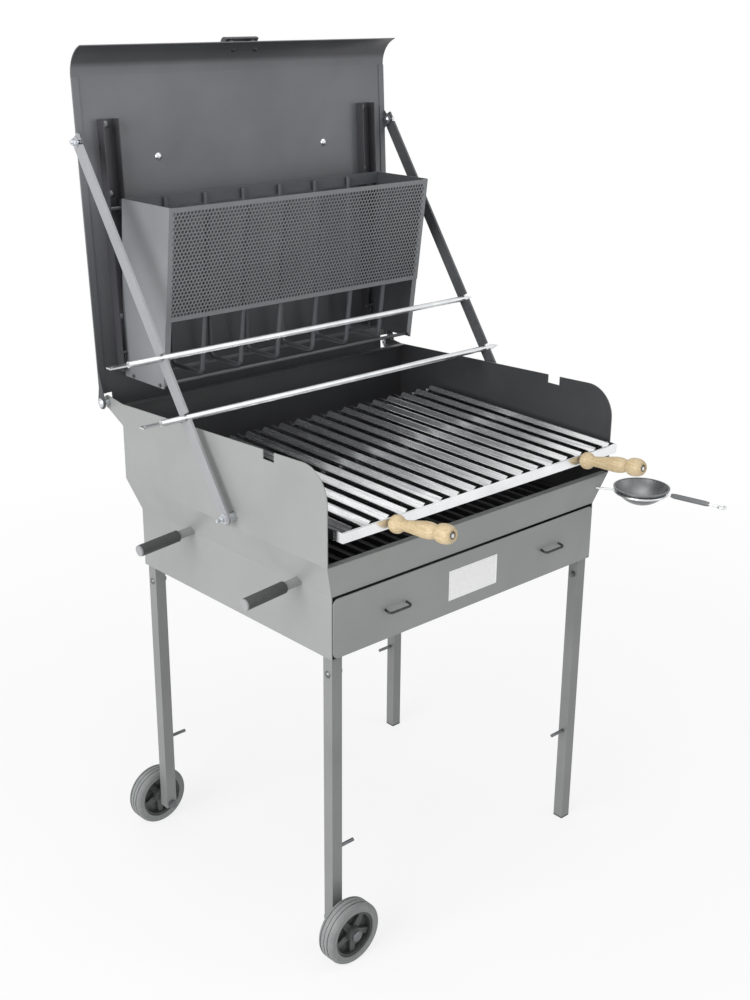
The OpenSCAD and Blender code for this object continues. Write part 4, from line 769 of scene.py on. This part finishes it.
@dataclass
class PerforatedSheet:
    """The front sheet of the fire basket, with its fine staggered holes.

    Attributes:
        node: Node that it stands for.
        pitch: Distance between holes.
        hole: Radius of a hole.
        thick: Thickness of the sheet.
        rim: Width of the plain border.
        sides: Corners of a hole, a multiple of eight.
    """

    node: str = "basket_front_sheet"
    pitch: float = 6.8 * MM
    hole: float = 2.8 * MM
    thick: float = 1.2 * MM
    rim: float = 4.5 * MM
    sides: int = 16
    _spots: list[tuple[float, float]] = field(default_factory=list)
    _index: dict[tuple[int, int], int] = field(default_factory=dict)

    def _at(self, x: float, z: float) -> int:
        """Gives the number of the point at a place on the sheet.

        Args:
            x: Distance from the left edge.
            z: Distance from the lower edge.

        Returns:
            The point's number.
        """
        key = (round(x * 1e6), round(z * 1e6))
        if key not in self._index:
            self._index[key] = len(self._spots)
            self._spots.append((x, z))
        return self._index[key]

    def _cell(self, x: float, z: float, row: float) -> tuple[list[tuple[int, ...]], list[int]]:
        """Makes the faces round one hole.

        Args:
            x: Left edge of the cell.
            z: Lower edge of the cell.
            row: Height of the cell.

        Returns:
            The faces and the hole's points.
        """
        ring = ((1, 0.5), (1, 1), (0.5, 1), (0, 1), (0, 0.5), (0, 0), (0.5, 0), (1, 0))
        outer = [self._at(x + dx * self.pitch, z + dz * row) for dx, dz in ring]
        hole = []
        for k in range(self.sides):
            t = math.tau * k / self.sides
            dx, dz = self.hole * math.cos(t), self.hole * math.sin(t)
            hole.append(self._at(x + self.pitch / 2 + dx, z + row / 2 + dz))
        per = self.sides // 8
        faces = []
        for k in range(8):
            inner = [hole[(per * k + m) % self.sides] for m in range(per, -1, -1)]
            faces.append((outer[k], outer[(k + 1) % 8], *inner))
        return faces, hole

    def build(self, palette: Palette) -> None:
        """Builds the sheet in the node's place.

        Args:
            palette: The materials.
        """
        points = [v.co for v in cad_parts[self.node].data.vertices]
        foot = min(points, key=lambda p: p.z)
        top = min(points, key=lambda p: p.y)
        left, right = min(p.x for p in points), max(p.x for p in points)
        rise = Vector((0.0, top.y - foot.y, top.z - foot.z))
        width, height = right - left, rise.length
        up = rise.normalized()
        back = Vector((0.0, up.z, -up.y))
        corner = Vector((left, foot.y, foot.z))
        row = self.pitch * math.cos(math.radians(30.0))
        cols = int((width - 2 * self.rim) / self.pitch - 0.5)
        rows = int((height - 2 * self.rim) / row)
        x0, z0 = (width - (cols + 0.5) * self.pitch) / 2, (height - rows * row) / 2
        faces: list[tuple[int, ...]] = []
        holes: list[list[int]] = []
        for j in range(rows):
            z = z0 + j * row
            start = x0 + (self.pitch / 2 if j % 2 else 0.0)
            for i in range(cols):
                made, hole = self._cell(start + i * self.pitch, z, row)
                faces += made
                holes.append(hole)
            blank = x0 if j % 2 else x0 + cols * self.pitch
            end = blank + self.pitch / 2
            edge = ((blank, 0), (end, 0), (end, 0.5), (end, 1), (blank, 1), (blank, 0.5))
            faces.append(tuple(self._at(x, z + dz * row) for x, dz in edge))
        xs = [x0 + k * self.pitch / 2 for k in range(2 * cols + 2)]
        zs = [z0 + k * row / 2 for k in range(2 * rows + 1)]
        full_x, full_z = [0.0, *xs, width], [0.0, *zs, height]
        for a, b in zip(full_x, full_x[1:]):
            for c, d in ((0.0, z0), (zs[-1], height)):
                faces.append(tuple(self._at(x, z) for x, z in ((a, c), (b, c), (b, d), (a, d))))
        for c, d in zip(zs, zs[1:]):
            for a, b in ((0.0, x0), (xs[-1], width)):
                faces.append(tuple(self._at(x, z) for x, z in ((a, c), (b, c), (b, d), (a, d))))
        count = len(self._spots)
        verts = [corner + Vector((x, 0.0, 0.0)) + up * z for x, z in self._spots]
        verts += [v + back * self.thick for v in verts]
        whole = faces + [tuple(i + count for i in reversed(f)) for f in faces]
        for hole in holes:
            for a, b in zip(hole, hole[1:] + hole[:1]):
                whole.append((a, b, b + count, a + count))
        border = [self._at(x, 0.0) for x in full_x] + [self._at(width, z) for z in full_z[1:]]
        border += [self._at(x, height) for x in full_x[-2::-1]] + [self._at(0.0, z) for z in full_z[-2:0:-1]]
        for a, b in zip(border, border[1:] + border[:1]):
            whole.append((b, a, a + count, b + count))
        mesh = bpy.data.meshes.new("perforated_sheet")
        mesh.from_pydata([tuple(v) for v in verts], [], whole)
        mesh.update()
        LOG.info("sheet with %d holes", len(holes))
        piece = new_piece("perforated_sheet", mesh, palette.get(SHEET), "basket")
        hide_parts(self.node)


@dataclass
class BorderedPlate:
    """The bare plate on the drawer front, with a raised border and two rivets.

    Attributes:
        node: Node that it stands for.
        border: Width of the border.
        step: Depth of the field below the border.
        rivet: Radius of a rivet.
    """

    node: str = "blank_plate"
    border: float = 3.0 * MM
    step: float = 0.35 * MM
    rivet: float = 1.8 * MM

    def build(self, palette: Palette) -> None:
        """Builds the plate in the node's place.

        Args:
            palette: The materials.
        """
        low, high = (Vector(c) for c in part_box(self.node))
        work = bmesh.new()
        middle, size = (low + high) / 2, high - low
        bmesh.ops.create_cube(work, size=1.0, matrix=Matrix.Translation(middle) @ Matrix.Diagonal((*size, 1.0)))
        front = min(work.faces, key=lambda f: f.calc_center_median().y)
        bmesh.ops.inset_region(work, faces=[front], thickness=self.border)
        bmesh.ops.inset_region(work, faces=[front], thickness=self.step, depth=-self.step)
        sharp = [e for e in work.edges if e.calc_length() > self.border * 3]
        bmesh.ops.bevel(work, geom=sharp, offset=0.15 * MM, segments=2, affect="EDGES")
        for side in (-1.0, 1.0):
            spot = Vector((middle.x + side * (size.x / 2 - 8 * MM), low.y + self.step, middle.z))
            turn = Matrix.Translation(spot) @ Matrix.Diagonal((1.0, 0.9 * self.step / self.rivet, 1.0, 1.0))
            bmesh.ops.create_uvsphere(work, u_segments=20, v_segments=12, radius=self.rivet, matrix=turn)
        mesh = mesh_from("bordered_plate", work, 30.0)
        piece = new_piece("bordered_plate", mesh, palette.get(PLATE), "drawer")
        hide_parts(self.node)


@dataclass
class RolledEdge:
    """The roll of sheet along the front edge of the gutter.

    Attributes:
        node: Node whose edge is rolled.
        radius: Outer radius of the roll.
        wall: Thickness of the sheet.
        short: Distance by which it stops short of each end.
    """

    node: str = "grill_gutter"
    radius: float = 1.9 * MM
    wall: float = 0.8 * MM
    short: float = 0.4 * MM

    def build(self, palette: Palette) -> None:
        """Builds the roll.

        Args:
            palette: The materials.
        """
        points = [v.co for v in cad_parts[self.node].data.vertices]
        front = min(p.y for p in points)
        edge = max((p for p in points if p.y < front + 1.5 * MM), key=lambda p: p.z)
        left, right = min(p.x for p in points) + self.short, max(p.x for p in points) - self.short
        length, bore, soft = right - left, self.radius - self.wall, 0.25 * MM
        profile = [(0.0, bore), (0.0, self.radius - soft), (soft, self.radius),
                   (length - soft, self.radius), (length, self.radius - soft), (length, bore)]
        start = Vector((left, edge.y + self.radius, edge.z - self.radius))
        mesh = mesh_from("gutter_roll", lathe(profile, start, Vector((1.0, 0.0, 0.0)), 28), 40.0)
        new_piece("gutter_roll", mesh, palette.get(GUTTER), "grill")


@dataclass(frozen=True)
class Lamp:
    """A soft rectangular studio light.

    Attributes:
        name: Name of the light.
        place: Where it stands.
        aim: What it points at.
        size: Its width and height.
        power: Its power in watts.
        tint: Its colour.
    """

    name: str
    place: tuple[float, float, float]
    aim: tuple[float, float, float]
    size: tuple[float, float]
    power: float
    tint: tuple[float, float, float] = (1.0, 1.0, 1.0)

    def build(self) -> None:
        """Adds the light."""
        data = bpy.data.lights.new(self.name, "AREA")
        data.shape = "RECTANGLE"
        data.size, data.size_y = self.size
        data.energy = self.power
        data.color = self.tint
        lamp = bpy.data.objects.new(self.name, data)
        bpy.context.collection.objects.link(lamp)
        lamp.location = self.place
        lamp.rotation_euler = (Vector(self.aim) - Vector(self.place)).to_track_quat("-Z", "Y").to_euler()


def background_seen(tree: bpy.types.NodeTree) -> Socket:
    """Tells the rays of the eye, of mirrors and of glass from the others.

    Args:
        tree: Node tree of the material or the world.

    Returns:
        A socket that is 1 for those rays.
    """
    path = tree.nodes.new("ShaderNodeLightPath")
    value = path.outputs["Is Camera Ray"]
    for name in ("Is Glossy Ray", "Is Transmission Ray"):
        either = tree.nodes.new(Node.MATH.value)
        either.operation = "MAXIMUM"
        tree.links.new(value, either.inputs[0])
        tree.links.new(path.outputs[name], either.inputs[1])
        value = either.outputs[0]
    return value


@dataclass
class Studio:
    """Floor, background, lights and camera.

    Attributes:
        lens: Focal length in millimetres on a 36 mm long side.
        place: Where the camera stands.
        azimuth: Direction of view, in degrees.
        elevation: Height of view, in degrees.
        roll: Roll of the camera, in degrees.
        lamps: The lights.
    """

    lens: float = 49.5
    place: tuple[float, float, float] = (-1.4786, -1.570009, 1.467)
    azimuth: float = -42.81
    elevation: float = 20.41
    roll: float = 0.5
    lamps: tuple[Lamp, ...] = field(default_factory=lambda: (
        Lamp("key_left", (-3.3, -0.5, 1.7), (0.0, 0.0, 0.7), (2.4, 2.4), 105.0),
        Lamp("front_fill", (1.9, -2.9, 2.3), (0.1, 0.0, 0.8), (2.0, 2.0), 13.0),
        Lamp("top", (0.2, -0.4, 3.6), (0.0, 0.0, 0.7), (2.4, 2.4), 26.0),
    ))

    def build(self) -> None:
        """Builds the studio."""
        self._floor()
        self._world()
        for lamp in self.lamps:
            lamp.build()
        self._camera()
        view = bpy.context.scene.view_settings
        view.view_transform = "Standard"
        view.look = "None"
        view.exposure = 0.0
        view.gamma = 1.0

    def _floor(self) -> None:
        """Adds the pale floor."""
        work = bmesh.new()
        bmesh.ops.create_grid(work, x_segments=1, y_segments=1, size=20.0)
        mesh = mesh_from("floor", work)
        floor = bpy.data.objects.new("floor", mesh)
        bpy.context.collection.objects.link(floor)
        g = Graph("floor_pale")
        grey = g.blend(g.spread(g.noise(3.0, 4.0), 0.0, 1.0), (0.86, 0.86, 0.855), (0.84, 0.84, 0.835))
        g.link(grey, g.shader.inputs["Base Color"])
        g.shader.inputs["Roughness"].default_value = 0.9
        g.shader.inputs["Specular IOR Level"].default_value = 0.1
        near = g.spread(g.length(g.coord), 0.80, 1.0, 0.5, 2.2)
        share = g.maths("MULTIPLY", near, background_seen(g.tree))
        white = g.tree.nodes.new("ShaderNodeEmission")
        white.inputs["Color"].default_value = (1.0, 1.0, 1.0, 1.0)
        white.inputs["Strength"].default_value = 1.0
        mix = g.tree.nodes.new("ShaderNodeMixShader")
        g.link(share, mix.inputs["Fac"])
        g.link(g.shader.outputs["BSDF"], mix.inputs[1])
        g.link(white.outputs[0], mix.inputs[2])
        out = next(n for n in g.tree.nodes if n.bl_idname == Node.OUTPUT.value)
        g.link(mix.outputs[0], out.inputs["Surface"])
        mesh.materials.append(g.material)

    def _world(self) -> None:
        """Makes a white background for the eye and soft light for surfaces."""
        world = bpy.data.worlds.new("studio")
        bpy.context.scene.world = world
        world.use_nodes = True
        tree = world.node_tree
        tree.nodes.clear()
        out = tree.nodes.new("ShaderNodeOutputWorld")
        mix = tree.nodes.new("ShaderNodeMixShader")
        seen = tree.nodes.new("ShaderNodeBackground")
        lit = tree.nodes.new("ShaderNodeBackground")
        seen.inputs["Color"].default_value = (1.0, 1.0, 1.0, 1.0)
        seen.inputs["Strength"].default_value = 1.0
        lit.inputs["Color"].default_value = (0.97, 0.985, 1.0, 1.0)
        lit.inputs["Strength"].default_value = 0.5
        tree.links.new(background_seen(tree), mix.inputs["Fac"])
        tree.links.new(lit.outputs[0], mix.inputs[1])
        tree.links.new(seen.outputs[0], mix.inputs[2])
        tree.links.new(mix.outputs[0], out.inputs["Surface"])

    def _camera(self) -> None:
        """Adds the camera at the photograph's point of view."""
        data = bpy.data.cameras.new("camera")
        data.sensor_width = 36.0
        data.sensor_fit = "AUTO"
        data.lens = self.lens
        data.clip_start, data.clip_end = 0.05, 100.0
        camera = bpy.data.objects.new("camera", data)
        bpy.context.collection.objects.link(camera)
        a, e, r = (math.radians(v) for v in (self.azimuth, self.elevation, self.roll))
        back = Vector((math.sin(a) * math.cos(e), -math.cos(a) * math.cos(e), math.sin(e)))
        right = (-back).cross(Vector((0.0, 0.0, 1.0))).normalized()
        up = right.cross(-back)
        right, up = (right * math.cos(r) + up * math.sin(r), up * math.cos(r) - right * math.sin(r))
        turn = Matrix((right, up, back)).transposed().to_4x4()
        camera.matrix_world = Matrix.Translation(self.place) @ turn
        bpy.context.scene.camera = camera


def main() -> None:
    """Builds the looks in order."""
    logging.basicConfig(level=logging.INFO, format="%(name)s: %(message)s")
    random.seed(7)
    palette = Palette()
    palette.dress_nodes()
    for node in ("wood_handle_left", "wood_handle_right"):
        TurnedHandle(node).build(palette)
    PerforatedSheet().build(palette)
    BorderedPlate().build(palette)
    RolledEdge().build(palette)
    Studio().build()


if __name__ == "__main__":
    main()
